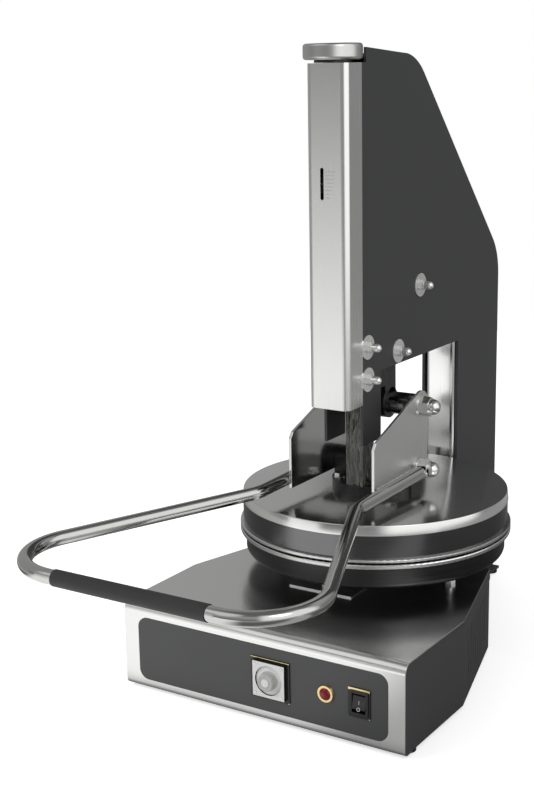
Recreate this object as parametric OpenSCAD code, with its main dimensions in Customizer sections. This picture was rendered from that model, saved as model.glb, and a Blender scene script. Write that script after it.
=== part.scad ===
// Bench-top pizza dough press: two heated platens, a toggle linkage and a lever handle.
// Millimetres, +Z up, +X to the operator's right, -Y towards the operator.
// Lengths along Y are measured from the vertical axis of the platens.
// Heights of the column and the toggle are measured from the lid of the closed platens.

/* [Base] */
// Width of the base housing
base_w = 420; // [400:1:460]
// Height of the base housing above its feet
base_h = 118; // [108:1:135]
// From the platen axis forward to the front of the base
base_front = 311; // [295:1:330]
// Depth of the straight part of each side
base_straight = 162; // [130:1:190]
// Depth of the angled part of each side
base_taper = 190; // [175:1:210]
// How far each side comes in along its angled part
base_taper_in = 50; // [30:1:65]
// Bend radius of the top front edge
base_edge_r = 13; // [8:0.5:16]
// Bend radius of the bottom front edge
base_lip_r = 7; // [5:0.5:9]
// Depth of the lip folded under the front
base_lip = 18; // [14:1:24]
// Sheet thickness of the housing
sheet_t = 1.5; // [1:0.1:2]
// Height of the rubber feet
foot_h = 4; // [3:0.5:10]
// Diameter of the rubber feet
foot_d = 24; // [18:1:28]
// Width of the ground plate under the column
ground_w = 80; // [72:1:100]
// Thickness of the ground plate under the column
ground_t = 4; // [3:0.5:6]

/* [Vents] */
// Number of slots on each side
vent_count = 8; // [5:1:9]
// Width of a slot
vent_w = 3.5; // [2:0.5:4]
// Height of a slot
vent_h = 70; // [50:1:80]
// Distance between slots along the panel
vent_pitch = 17.6; // [15:0.2:18]

/* [Control panel] */
// Margin of the base at each side of the dark front plate
panel_side = 23; // [16:1:27]
// Height of the dark front plate
panel_h = 87; // [84:1:90]
// Thickness of the dark front plate
panel_t = 1; // [0.8:0.1:1.5]
// Corner radius of the dark front plate
panel_r = 14; // [8:1:20]
// Height of the centre of the front plate above the feet
panel_z = 57; // [54:0.5:60]
// Side of the square temperature controller
controller_size = 48; // [45:1:52]
// How far the controller stands out of the plate
controller_proud = 5.5; // [5:0.5:8]
// Margin of the controller's flange at each side
controller_flange = 4.5; // [3:0.5:6]
// From the controller's centre to the pilot lamp's
controller_step = 80.5; // [68:0.5:92]
// Height of the controller and the lamp above the middle of the plate
instrument_rise = 1.5; // [0:0.5:4]
// Depth of the controller body behind the plate
controller_depth = 46; // [35:1:60]
// Diameter of the controller's scale disc
dial_d = 39; // [34:1:41]
// Thickness of the controller's scale disc
dial_t = 2; // [1.5:0.1:2.4]
// Diameter of the dial's hub
hub_d = 24; // [20:1:28]
// Height of the dial's hub over the disc
hub_h = 10; // [7:0.5:12]
// From the pilot lamp's centre to the rocker switch's
lamp_step = 47; // [40:1:56]
// Diameter of the lamp lens
lamp_d = 16; // [14:0.5:18]
// Width of the ring round the lamp lens
bezel_w = 3.75; // [2.5:0.25:5]
// Centre of the rocker switch in from the right side of the base
switch_inset = 61; // [54:1:66]
// Width of the switch frame
switch_w = 26; // [24:1:28]
// Height of the switch frame
switch_h = 32; // [28:1:34]
// Margin of the switch's flange at each side
switch_flange = 2; // [1:0.5:4]
// Margin of the flanges above and below the switch and the controller
flange_end = 3; // [2:0.5:4]
// Thickness of the flanges
flange_t = 1.5; // [1:0.1:2]
// Tilt of the rocker to each side
rocker_tilt = 8; // [6:0.5:9]

/* [Platens] */
// Diameter of the two heated plates
plate_d = 382; // [376:1:392]
// Thickness of the plate rims
rim_t = 6; // [5:0.5:7]
// Gap between the closed plates, where the dough is pressed
press_gap = 2.5; // [1:0.5:5]
// Thickness of the plate bodies inside their casings
plate_body = 14; // [12:0.5:16]
// Diameter of the lower pan
pan_d = 366; // [360:1:370]
// Height of the lower pan
pan_h = 31; // [29:1:38]
// Radius of the pan's bottom corner
pan_r = 8; // [6:1:12]
// Wall of the pan and the upper casing
casing_t = 2; // [1.5:0.1:2.5]
// Clear height between the base and the pan
pan_gap = 21; // [18:1:26]
// Diameter of the upper casing
casing_d = 373; // [370:1:375]
// Height of the dark band of the upper casing
band_h = 31; // [30:1:36]
// Height of the polished lid over the band
lid_h = 14; // [12:0.5:16]
// Rounding of the lid's edge
lid_r = 9; // [6:0.5:11]
// Width of the support plate under the pan
support_w = 96; // [90:1:110]
// Thickness of the support plate
support_t = 2; // [1.5:0.5:4]
// Front edge of the support plate forward of the platen axis
support_front = 154; // [148:1:160]
// Radius of the circle of pan supports
pan_support_r = 140; // [132:1:146]
// Diameter of the pan supports
pan_support_d = 10; // [8:1:14]
// Angle from the front to the side supports
pan_support_angle = 75; // [70:1:80]

/* [Press head] */
// Diameter of the boss on the upper platen
boss_d = 120; // [118:1:128]
// Height of the boss above the lid
boss_h = 13; // [10:1:18]
// Diameter of the boss's spigot through the lid
spigot_d = 88; // [70:1:100]
// Width of the guide bar
bar_w = 26; // [22:1:28]
// Depth of the guide bar
bar_l = 32; // [28:1:34]
// Front face of the guide bar, forward of the platen axis
bar_front = 58; // [56:0.5:58]
// Top of the guide bar above the lid
bar_top = 472.5; // [467.5:1:507.5]

/* [Column] */
// Width of the column over its side plates
column_w = 60; // [58:1:64]
// Thickness of the side plates
side_t = 4; // [3:0.5:5]
// Front edge of the side plates, forward of the platen axis
side_front = 87; // [86:0.5:90]
// Depth of the front legs of the side plates
leg_l = 50; // [46:1:54]
// Bottom of the front legs above the lid
leg_bottom = 80.5; // [79.5:1:85.5]
// Top of the side plates above the lid, where the slope begins
side_top = 593.5; // [588.5:1:609.5]
// How much the side plates' top edge falls towards the slope
top_fall = 7; // [0:0.5:9]
// Rear edge of the side plates behind the platen axis
side_rear = 350; // [340:1:360]
// Rear edge of the throat behind the platen axis
throat_rear = 207; // [204:1:215]
// Top of the throat above the lid
throat_top = 175.5; // [173.5:1:177.5]
// Depth of the notch for the knob in the side plates
notch_l = 12; // [10:0.5:16]
// Height above the lid at which the sloping edge would meet the rear edge
slope_foot = 291.5; // [271.5:1:311.5]
// Angle of the sloping edge
slope_angle = 46.5; // [44:0.5:48]
// Rounding of the two ends of the slope
slope_r = 85; // [60:5:110]
// How far the frame's lower arms reach forward of the platen axis
arm_front = 150; // [120:5:190]
// Depth of the front cover
cover_l = 40; // [38:0.5:44]
// Corner radius of the front cover
cover_r = 9; // [6:0.5:10]
// Bottom of the front cover above the lid
cover_bottom = 136.5; // [127.5:1:145.5]
// Top of the front cover above the lid
cover_top = 581.5; // [577.5:1:585.5]
// Front edge of the back cover, forward of the platen axis
back_front = 39; // [30:1:50]
// How far the back cover sits inside the edge of the side plates
back_inset = 6; // [3:1:10]
// Diameter of the column bolts
bolt_d = 8; // [6:1:9]
// Diameter of the large thin washers
washer_d = 33; // [26:1:34]
// Thickness of the large thin washers
washer_t = 1.5; // [1:0.1:2]
// Height of the column's dome nuts
dome_h = 19; // [15:0.5:20]
// Height of the upper guide bolt above the lid
guide_bolt_top = 213.5; // [210.5:1:217.5]
// Distance between the two guide bolts
guide_bolt_step = 44; // [40:1:46]
// Guide bolts forward of the platen axis
guide_bolt_y = 74; // [73:0.5:75]
// Height of the guide block
guide_h = 84; // [80:1:90]
// Height of the tie bolt above the lid
tie_z = 276.5; // [267.5:1:287.5]
// Tie bolt behind the platen axis
tie_y = 79; // [70:1:90]
// Top of the rear channel above the lid
channel_top = 237.5; // [207.5:5:267.5]
// Depth of the rear channel
channel_l = 92; // [62:5:122]

/* [Toggle] */
// Fixed pivot of the toggle behind the platen axis
fixed_y = 13; // [12:0.5:14]
// Fixed pivot of the toggle above the lid
fixed_z = 193.5; // [192.5:0.5:194.5]
// Knee of the closed toggle behind the platen axis
knee_y = 14; // [13:0.5:15]
// Knee of the closed toggle above the lid
knee_z = 119.5; // [118.5:0.5:120.5]
// Handle pivot on the press head behind the platen axis
pivot_y = 10; // [9:0.5:11]
// Handle pivot on the press head above the lid
pivot_z = 31.5; // [30.5:0.5:33.5]
// Diameter of the toggle pins
pin_d = 16; // [14:0.5:17]
// Height of the large dome nuts on the lever plates
big_dome_h = 26.5; // [22:0.5:28]
// Diameter of the link's eyes
eye_d = 44; // [40:1:46]
// Width of the link between its eyes
link_w = 31; // [28:1:38]
// Thickness of the link
link_t = 36; // [30:1:38]
// Diameter of the spacers on the knee
spacer_d = 31; // [28:1:34]
// Length of the lost-motion slot in the link's lower eye
slot_l = 10.8; // [10:0.2:13]
// Clearance of the knee shaft in the lost-motion slot
slot_clear = 2.8; // [2.6:0.1:4]
// Slant of the lost-motion slot
slot_slant = 23; // [20:1:26]
// Distance between the inner faces of the lever plates
lever_gap = 124; // [122:1:128]
// Thickness of the lever plates
lever_t = 4; // [3:0.5:5]
// Front edge of the lever plates forward of the platen axis
lever_front = 122; // [110:1:126]
// Height of the lever plates' front edge above their bottom
lever_front_h = 76; // [64:1:82]
// How far the lever plates reach below their pivot
lever_drop = 14; // [12:0.5:15]
// Radius of the lever plates round the knee and the pivot
lever_r = 21; // [19:0.5:22]

/* [Handle] */
// Diameter of the handle tube
tube_d = 18; // [16:0.5:20]
// Wall of the handle tube
tube_wall = 2; // [1.5:0.1:2.5]
// Front bar of the handle forward of the platen axis
handle_reach = 558; // [540:1:580]
// Distance between the arms' lines where they meet the front bar's line
handle_w = 472; // [440:1:490]
// Where the arms begin to spread, forward of the platen axis
spread_y = 186; // [175:1:195]
// Bend radius of the front corners
corner_r = 78; // [60:1:85]
// Bend radius where the arms begin to spread
spread_r = 60; // [40:1:70]
// Height of the handle's line below the pivot
handle_drop = 2; // [0:0.5:6]
// Downward slope of the handle towards the operator
handle_slope = 0.9; // [0:0.1:1.5]
// Diameter of the hand grip
grip_d = 20; // [19.5:0.5:24]
// Length of the hand grip
grip_l = 212; // [180:1:220]

/* [Thickness adjuster] */
// Diameter of the knob
knob_d = 76; // [70:1:80]
// Height of the knob
knob_h = 20; // [16:1:24]
// Rounding of the knob's edges
knob_r = 4; // [2:0.5:6]
// Knob axis forward of the platen axis
knob_y = 108; // [107:0.5:109]
// Gap between the cover and the knob
knob_gap = 4; // [3:0.5:6]
// Diameter of the adjusting spindle
spindle_d = 12; // [10:0.5:14]
// Bottom of the spindle above the lid
spindle_bottom = 323.5; // [312.5:1:332.5]
// Height of the stop nut
nut_h = 24; // [20:1:28]
// Middle of the stop nut above the lid
nut_z = 431.5; // [427.5:1:435.5]
// Downward travel of the stop nut
nut_travel = 18; // [14:1:20]
// Width of the slot in the cover
scale_slot_w = 5; // [4:0.5:6]
// Length of the slot in the cover
scale_slot_l = 41; // [40:1:50]
// Offset of the slot to the left
scale_slot_x = 6.5; // [0:0.5:10]
// Thickness of the spindle brackets
bracket_t = 12; // [10:1:16]

/* [Hidden] */
$fn = 64;

// Clearances: running pins, moving faces, parts fitted together, and an overrun for cuts
run_c = 0.05;
move_c = 0.4;
fit_c = 0.2;
cut = 1;

// Heights above the table
base_bottom = foot_h;
base_top = foot_h + base_h;
arm_bottom = base_bottom + ground_t;
pan_bottom = base_top + pan_gap;
pan_top = pan_bottom + pan_h;
lower_face = pan_top + rim_t;
upper_face = lower_face + press_gap;
upper_rim_top = upper_face + rim_t - 1;
band_top = upper_rim_top + band_h;
lid_top = band_top + lid_h;
boss_top = lid_top + boss_h;
bar_end = lid_top + bar_top;
leg_level = lid_top + leg_bottom;
side_level = lid_top + side_top;
throat_level = lid_top + throat_top;
slope_level = lid_top + slope_foot;
cover_low = lid_top + cover_bottom;
cover_high = lid_top + cover_top;
guide_level = lid_top + guide_bolt_top;
tie_level = lid_top + tie_z;
channel_level = lid_top + channel_top;
fixed_level = lid_top + fixed_z;
knee_level = lid_top + knee_z;
pivot_level = lid_top + pivot_z;
spindle_low = lid_top + spindle_bottom;
nut_level = lid_top + nut_z;
knob_bottom = cover_high + knob_gap;
knob_top = knob_bottom + knob_h;
panel_mid = base_bottom + panel_z;
instrument_mid = panel_mid + instrument_rise;

// The box of the whole press is centred on the origin, so everything is shifted along Y
back_end = side_rear + 2;
shift_y = (handle_reach + grip_d / 2 - back_end) / 2;

// Faces across X
side_out = column_w / 2;
side_in = side_out - side_t;
lever_in = lever_gap / 2;
lever_out = lever_in + lever_t;
arm_x = lever_out + tube_d / 2;

// Plan of the base
half_w = base_w / 2;
panel_w = base_w - 2 * panel_side;
switch_x = half_w - switch_inset;
lamp_x = switch_x - lamp_step;
controller_x = lamp_x - controller_step;
bend_y = -base_front + base_straight;
rear_y = bend_y + base_taper;
rear_half = half_w - base_taper_in;
side_angle = atan2(base_taper_in, base_taper);

// Front cover
cover_front = side_front + cover_l;
cover_half = side_out;

// Washers and dome nuts
nut_af = 1.6 * bolt_d;
big_nut_af = 1.5 * pin_d;
big_washer_t = 2;
hex_share = 0.8;

// The nut's stop face meets the catch on the guide bar when the platens are closed
stop_face = nut_level + nut_h / 2;
catch_h = 20;

// Points of an arc from angle a0 to a1
function arc(c, r, a0, a1, n = 14) =
    [for (i = [0:n]) c + r * [cos(a0 + (a1 - a0) * i / n), sin(a0 + (a1 - a0) * i / n)]];

// Moves a sub-part from the platen axis to its place in the part's frame
module placed() {
    translate([0, shift_y, 0]) children();
}

// A cylinder along X from x0 to x1
module rod_x(x0, x1, r) {
    translate([x0, 0, 0]) rotate([0, 90, 0]) cylinder(h = x1 - x0, r = r);
}

// A hexagonal prism along X, across flats af
module hex_x(x0, x1, af) {
    translate([x0, 0, 0]) rotate([0, 90, 0]) cylinder(h = x1 - x0, d = af / cos(30), $fn = 6);
}

// A flat ring along X
module ring_x(x0, x1, r, hole) {
    difference() {
        rod_x(x0, x1, r);
        rod_x(x0 - cut, x1 + cut, hole);
    }
}

// A dome nut along X, seated at x0, on a thread of diameter d, h high in all
module dome_nut_x(x0, d, af, h) {
    hex_h = hex_share * d;
    dome_r = 0.45 * af;
    neck = x0 + h - dome_r;
    difference() {
        union() {
            hex_x(x0, x0 + hex_h, af);
            rod_x(x0 + hex_h - cut, neck, dome_r);
            intersection() {
                translate([neck, 0, 0]) sphere(r = dome_r);
                rod_x(neck - cut, neck + dome_r, dome_r);
            }
        }
        rod_x(x0 - cut, x0 + hex_h, d / 2 + run_c);
    }
}

// A rectangle with round corners, centred
module round_rect(w, h, r) {
    square([w - 2 * r, h], center = true);
    square([w, h - 2 * r], center = true);
    for (sx = [-1, 1], sz = [-1, 1])
        translate([sx * (w / 2 - r), sz * (h / 2 - r)]) circle(r);
}

// A plate in the XZ plane with its front face at y, t thick
module front_plate(y, t) {
    translate([0, y + t, 0]) rotate([90, 0, 0]) linear_extrude(t) children();
}

// Sets a shape at every mirrored place across X
module both_sides() {
    children();
    mirror([1, 0, 0]) children();
}

/* Base */

// Plan of the base housing, drawn in by a margin
module base_plan(m = 0) {
    polygon([
        [-half_w + m, -base_front + m], [half_w - m, -base_front + m], [half_w - m, bend_y],
        [rear_half - m, rear_y - m], [-rear_half + m, rear_y - m], [-half_w + m, bend_y]
    ]);
}

// Block under the bent front-and-top sheet, drawn in by a margin, rounded along the front edges
module base_block(m) {
    top_r = base_edge_r - m;
    lip_r = base_lip_r - m;
    z0 = base_bottom + m;
    z1 = base_top - m;
    y0 = -base_front + m;
    long = base_w + 2 * cut;
    translate([-long / 2, y0 + top_r, z0]) cube([long, rear_y - y0 - top_r + cut, z1 - z0]);
    translate([-long / 2, y0, z0 + lip_r]) cube([long, 2 * top_r, z1 - z0 - lip_r - top_r]);
    translate([0, y0 + top_r, z1 - top_r]) rod_x(-long / 2, long / 2, top_r);
    translate([0, y0 + lip_r, z0 + lip_r]) rod_x(-long / 2, long / 2, lip_r);
    translate([-long / 2, y0 + lip_r, z0]) cube([long, base_edge_r, 2 * lip_r]);
}

// Openings in the front for the controller, the lamp and the switch
module panel_cuts(y0, y1) {
    translate([0, y1, panel_mid]) rotate([90, 0, 0]) linear_extrude(y1 - y0) {
        translate([controller_x, instrument_rise]) square(controller_size - 4 + 2 * fit_c, center = true);
        translate([lamp_x, instrument_rise]) circle(d = lamp_d - 2 + 2 * fit_c);
        translate([switch_x, 0])
            square([switch_w - 4 + 2 * fit_c, switch_h - 4 + 2 * fit_c], center = true);
    }
}

module base_shell() {
    color("gainsboro") difference() {
        intersection() {
            base_block(0);
            translate([0, 0, base_bottom]) linear_extrude(base_h) base_plan();
        }
        intersection() {
            base_block(sheet_t);
            linear_extrude(base_top) offset_plan();
        }
        translate([-half_w, -base_front + base_lip, base_bottom - cut])
            cube([base_w, base_w * 2, sheet_t + 2 * cut]);
        panel_cuts(-base_front - cut, -base_front + sheet_t + cut);
    }
}

// Plan that reaches past the housing on all sides but the front
module offset_plan() {
    translate([-base_w, -base_front]) square([2 * base_w, 3 * base_w]);
}

// One side of the housing: a sheet along the straight and the angled part, with slots
module side_panel() {
    vent_mid = base_taper / cos(side_angle) / 2;
    difference() {
        intersection() {
            base_block(sheet_t);
            translate([0, 0, base_bottom]) linear_extrude(base_h) polygon([
                [half_w, -base_front], [half_w, bend_y], [rear_half, rear_y],
                [rear_half - sheet_t, rear_y], [half_w - sheet_t, bend_y], [half_w - sheet_t, -base_front]
            ]);
        }
        translate([half_w, bend_y, base_bottom + base_h / 2]) rotate([0, 0, side_angle])
            for (i = [0:vent_count - 1])
                translate([0, vent_mid + (i - (vent_count - 1) / 2) * vent_pitch, 0])
                    cube([6 * sheet_t, vent_w, vent_h], center = true);
    }
}

module side_panel_right() {
    color("dimgray") side_panel();
}

module side_panel_left() {
    color("dimgray") mirror([1, 0, 0]) side_panel();
}

gland_d = 20;
gland_x = rear_half - 0.85 * gland_d;
gland_z = base_top - 0.9 * gland_d;

module rear_panel() {
    inner = rear_half - sheet_t - fit_c;
    color("dimgray") difference() {
        translate([-inner, rear_y - sheet_t, base_bottom])
            cube([2 * inner, sheet_t, base_h - sheet_t]);
        both_sides() translate([side_in - fit_c, rear_y - sheet_t - cut, arm_bottom - fit_c])
            cube([side_t + 2 * fit_c, sheet_t + 2 * cut, base_h]);
        translate([gland_x, rear_y + cut, gland_z]) rotate([90, 0, 0])
            cylinder(h = 4 * sheet_t, d = gland_d + 2 * fit_c);
    }
}

// The cable inlet in the rear panel: body, locknut and clamping cap with a bore
module cable_gland() {
    color("black") translate([gland_x, rear_y, gland_z]) rotate([-90, 0, 0]) difference() {
        union() {
            translate([0, 0, -10]) cylinder(h = 12, d = gland_d);
            cylinder(h = 6, d = gland_d * 1.5, $fn = 6);
            translate([0, 0, 6]) cylinder(h = 9, d = gland_d * 1.15);
            translate([0, 0, 15]) cylinder(h = 5, d1 = gland_d * 1.15, d2 = gland_d * 0.8);
        }
        translate([0, 0, -11]) cylinder(h = 40, d = gland_d * 0.45);
    }
}

module bottom_plate() {
    m = sheet_t + fit_c;
    color("darkgray") translate([0, 0, base_bottom]) linear_extrude(sheet_t) intersection() {
        base_plan(m);
        translate([-base_w, -base_front + base_lip]) square([2 * base_w, 3 * base_w]);
    }
}

// The plate under the column's lower arms, behind the housing
module ground_plate() {
    color("dimgray") translate([-ground_w / 2, rear_y + fit_c, base_bottom])
        cube([ground_w, back_end - rear_y - fit_c, ground_t]);
}

module feet() {
    edge = foot_d / 2 + 1;
    spots = [
        [half_w - edge, -base_front + edge + base_lip - 2], [half_w - edge - 4, bend_y - edge],
        [ground_w / 2 - edge + 2, back_end - edge]
    ];
    color("black") both_sides() for (p = spots)
        translate([p[0], p[1], 0]) cylinder(h = foot_h, d = foot_d);
}

/* Control panel */

module control_panel() {
    color("#262829") difference() {
        translate([0, 0, panel_mid]) front_plate(-base_front - panel_t, panel_t)
            round_rect(panel_w, panel_h, panel_r);
        panel_cuts(-base_front - 3 * panel_t, -base_front + cut);
    }
}

controller_face = -base_front - panel_t - controller_proud;
dial_seat = 3;

// Square instrument: a flange and a bezel in front of the plate and a body behind it
module controller_housing() {
    body = controller_size - 4;
    front = -base_front - panel_t;
    color("#151515") translate([controller_x, 0, instrument_mid]) difference() {
        union() {
            front_plate(controller_face, controller_proud)
                round_rect(controller_size, controller_size, 1.5);
            front_plate(front - flange_t, flange_t)
                round_rect(controller_size + 2 * controller_flange, controller_size + 2 * flange_end, 1.5);
            translate([-body / 2, front, -body / 2])
                cube([body, controller_depth + panel_t, body]);
        }
        translate([0, controller_face + dial_seat, 0]) rotate([90, 0, 0])
            cylinder(h = dial_seat + cut, d = dial_d + 2);
        translate([0, controller_face + dial_seat + 8, 0]) rotate([90, 0, 0])
            cylinder(h = 12, r = 3 + run_c);
    }
}

// Setting dial: a scale disc with a ribbed hub, on a short shaft
module controller_dial() {
    front = controller_face + dial_seat - move_c;
    rib_count = 16;
    rib = 0.12 * hub_d;
    color("whitesmoke") translate([controller_x, front, instrument_mid]) rotate([90, 0, 0]) {
        cylinder(h = dial_t, d = dial_d);
        difference() {
            translate([0, 0, dial_t / 2]) union() {
                cylinder(h = hub_h - 0.5, d = hub_d);
                translate([0, 0, hub_h - 0.5]) cylinder(h = 1.5, d1 = hub_d, d2 = hub_d - 3);
            }
            for (i = [0:rib_count - 1]) rotate([0, 0, i * 360 / rib_count])
                translate([hub_d / 2 + 0.3 * rib, 0, dial_t]) cylinder(h = hub_h + 2, d = rib);
            translate([0, 0, hub_h - 1]) cylinder(h = 4, d = 0.55 * hub_d);
        }
        translate([0, 0, -7]) cylinder(h = 8, r = 3);
    }
}

bezel_h = 3;

module lamp_bezel() {
    wide = lamp_d + 2 * bezel_w;
    front = -base_front - panel_t;
    color("goldenrod") translate([lamp_x, front, instrument_mid]) rotate([90, 0, 0]) difference() {
        union() {
            cylinder(h = bezel_h, d1 = wide, d2 = wide - 2);
            translate([0, 0, -24]) cylinder(h = 25, d = lamp_d - 2);
        }
        translate([0, 0, -18]) cylinder(h = 30, d = lamp_d - 4);
    }
}

module lamp_lens() {
    dome = 4;
    dome_r = (lamp_d * lamp_d / 4 + dome * dome) / (2 * dome);
    color("firebrick") translate([lamp_x, -base_front - panel_t - bezel_h, instrument_mid]) rotate([90, 0, 0]) {
        intersection() {
            translate([0, 0, dome - dome_r]) sphere(r = dome_r);
            cylinder(h = dome + cut, d = lamp_d);
        }
        translate([0, 0, -8]) cylinder(h = 8 + cut / 2, d = lamp_d - 4 - 2 * fit_c);
    }
}

frame_proud = 3;
rocker_w = switch_w - 8;
rocker_h = switch_h - 8;
rocker_axis_y = -base_front + 4;

module switch_frame() {
    body_w = switch_w - 4;
    body_h = switch_h - 4;
    front = -base_front - panel_t;
    color("#111111") translate([switch_x, 0, panel_mid]) difference() {
        union() {
            front_plate(front - frame_proud, frame_proud) round_rect(switch_w, switch_h, 2);
            front_plate(front - flange_t, flange_t)
                round_rect(switch_w + 2 * switch_flange, switch_h + 2 * flange_end, 2);
            translate([-body_w / 2, front, -body_h / 2]) cube([body_w, 24, body_h]);
        }
        translate([-rocker_w / 2 - move_c, front - frame_proud - cut, -rocker_h / 2 - move_c])
            cube([rocker_w + 2 * move_c, 18, rocker_h + 2 * move_c]);
        translate([0, rocker_axis_y, 0]) rod_x(-rocker_w / 2 - 1.5, rocker_w / 2 + 1.5, 1.5 + run_c);
    }
}

// Rocker with a dished face, tilted to one side, on two trunnions
module switch_rocker() {
    face_y = -base_front - panel_t - frame_proud;
    depth = rocker_axis_y - face_y;
    swing = rocker_h / 2 - 0.6;
    dish_r = 60;
    color("#1a1a1a") translate([switch_x, rocker_axis_y, panel_mid]) rotate([-rocker_tilt, 0, 0]) {
        difference() {
            intersection() {
                translate([-rocker_w / 2, -depth - 3, -rocker_h / 2]) cube([rocker_w, depth + 6, rocker_h]);
                rod_x(-rocker_w / 2, rocker_w / 2, swing);
            }
            translate([0, -depth - dish_r + 1, 0]) rod_x(-rocker_w, rocker_w, dish_r);
        }
        rod_x(-rocker_w / 2 - 1.2, rocker_w / 2 + 1.2, 1.5);
    }
}

/* Platens */

// Stainless plate on the frame's lower arms that carries the pan
module support_plate() {
    color("silver") translate([-support_w / 2, -support_front, base_top])
        cube([support_w, support_front + throat_rear - 7, support_t]);
}

module pan_supports() {
    r = pan_support_d / 2;
    color("silver") {
        for (sy = [-1, 1]) translate([0, sy * pan_support_r, base_top + support_t])
            cylinder(h = pan_gap - support_t, r = r);
        both_sides() rotate([0, 0, pan_support_angle]) translate([0, -pan_support_r, base_top]) {
            cylinder(h = pan_gap, r = r);
            cylinder(h = 5, r = r + 3, $fn = 6);
        }
    }
}

// Dark pan with a round bottom corner
module lower_pan() {
    r = pan_d / 2;
    color("#2b2d2e") translate([0, 0, pan_bottom]) rotate_extrude($fn = 128) difference() {
        union() {
            square([r - pan_r, pan_h]);
            translate([0, pan_r]) square([r, pan_h - pan_r]);
            translate([r - pan_r, pan_r]) circle(pan_r);
        }
        translate([0, casing_t]) square([r - pan_r, pan_h]);
        translate([0, pan_r]) square([r - casing_t, pan_h]);
        translate([r - pan_r, pan_r]) circle(pan_r - casing_t);
        translate([-2 * r, 0]) square([2 * r, pan_h]);
    }
}

// Heated plate: a rim with a rounded edge and a thicker body behind it, working face at z = 0
module heated_plate(rim, body_r) {
    edge = 1.5;
    r = plate_d / 2;
    rotate_extrude($fn = 128) {
        square([r - edge, rim]);
        translate([0, edge]) square([r, rim - 2 * edge]);
        translate([r - edge, edge]) circle(edge);
        translate([r - edge, rim - edge]) circle(edge);
        square([body_r, rim + plate_body]);
    }
}

module lower_plate() {
    color("silver") translate([0, 0, lower_face]) mirror([0, 0, 1])
        heated_plate(rim_t, pan_d / 2 - casing_t - fit_c);
}

module upper_plate() {
    color("silver") translate([0, 0, upper_face])
        heated_plate(rim_t - 1, casing_d / 2 - casing_t - fit_c);
}

// Ring heater clamped on the back of a plate
module heater_ring() {
    mid = 0.32 * plate_d;
    rotate_extrude($fn = 96) translate([mid - 9, 0]) {
        square([18, 5]);
        translate([9, 5]) circle(4);
    }
}

module lower_heater() {
    color("dimgray") translate([0, 0, lower_face - rim_t - plate_body]) mirror([0, 0, 1]) heater_ring();
}

module upper_heater() {
    color("dimgray") translate([0, 0, upper_rim_top + plate_body]) heater_ring();
}

module upper_band() {
    color("#2b2d2e") translate([0, 0, upper_rim_top]) difference() {
        cylinder(h = band_h, d = casing_d, $fn = 128);
        translate([0, 0, -cut]) cylinder(h = band_h + 2 * cut, d = casing_d - 2 * casing_t, $fn = 128);
    }
}

// Profile of the lid with a rounded shoulder
module lid_profile(r, h, round_r) {
    square([r - round_r, h]);
    square([r, h - round_r]);
    translate([r - round_r, h - round_r]) circle(round_r);
}

// Polished lid with a rounded edge and a hole for the boss
module upper_lid() {
    r = casing_d / 2 + 0.7;
    color("gainsboro") translate([0, 0, band_top]) rotate_extrude($fn = 128) difference() {
        lid_profile(r, lid_h, lid_r);
        translate([-r, -r]) square([2 * r, r]);
        lid_profile(r - casing_t, lid_h - casing_t, lid_r - casing_t);
        translate([-r, -cut]) square([r + spigot_d / 2 + fit_c, lid_h + 2 * cut]);
    }
}

boss_bolt_d = 8;
boss_bolt_r = boss_d / 2 - 1.2 * boss_bolt_d;
boss_bolt_spots = [for (a = [-36, 46]) boss_bolt_r * [cos(a), sin(a)]];

// Black boss on the lid with two pivot lugs and a spigot down to the plate
module press_boss() {
    lug_in = side_out + 9;
    lug_out = lever_in - move_c;
    lug_r = 17;
    bottom = upper_rim_top + plate_body;
    color("#1c1c1c") difference() {
        union() {
            translate([0, 0, lid_top]) cylinder(h = boss_h, d = boss_d, $fn = 96);
            translate([0, 0, bottom]) cylinder(h = lid_top - bottom + cut, d = spigot_d, $fn = 96);
            both_sides() {
                translate([0, pivot_y, pivot_level]) rod_x(lug_in, lug_out, lug_r);
                translate([lug_in, pivot_y - lug_r, lid_top])
                    cube([lug_out - lug_in, 2 * lug_r, pivot_level - lid_top]);
            }
        }
        both_sides() translate([0, pivot_y, pivot_level])
            rod_x(lug_in - cut, lug_out + cut, pin_d / 2 + run_c);
    }
}

// Hexagon bolts that hold the boss
module boss_bolts() {
    color("silver") both_sides() for (p = boss_bolt_spots) translate([p[0], p[1], boss_top]) {
        cylinder(h = 1.5, d = 2.1 * boss_bolt_d);
        translate([0, 0, 1.5]) cylinder(h = 0.7 * boss_bolt_d, d = 1.85 * boss_bolt_d, $fn = 6);
    }
}

module guide_bar() {
    color("#202020") translate([-bar_w / 2, -bar_front, boss_top]) cube([bar_w, bar_l, bar_end - boss_top]);
}

// Catch on the guide bar that lands on the stop nut
module stop_catch() {
    reach = 26;
    color("dimgray") translate([-bar_w / 2, -bar_front - reach, stop_face + move_c])
        cube([bar_w, reach, catch_h]);
}

pin_end = lever_out + big_washer_t + hex_share * pin_d - 1;

// Pins fixed in the boss's lugs, on which the lever plates turn
module lever_pins() {
    color("silver") both_sides() translate([0, pivot_y, pivot_level])
        rod_x(side_out + 9, pin_end + move_c, pin_d / 2);
}

module lever_nuts() {
    x0 = lever_out + move_c;
    color("silver") both_sides() translate([0, pivot_y, pivot_level]) {
        ring_x(x0, x0 + big_washer_t, 0.46 * washer_d, pin_d / 2 + run_c);
        dome_nut_x(x0 + big_washer_t, pin_d, big_nut_af, big_dome_h);
    }
}

/* Column */

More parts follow.
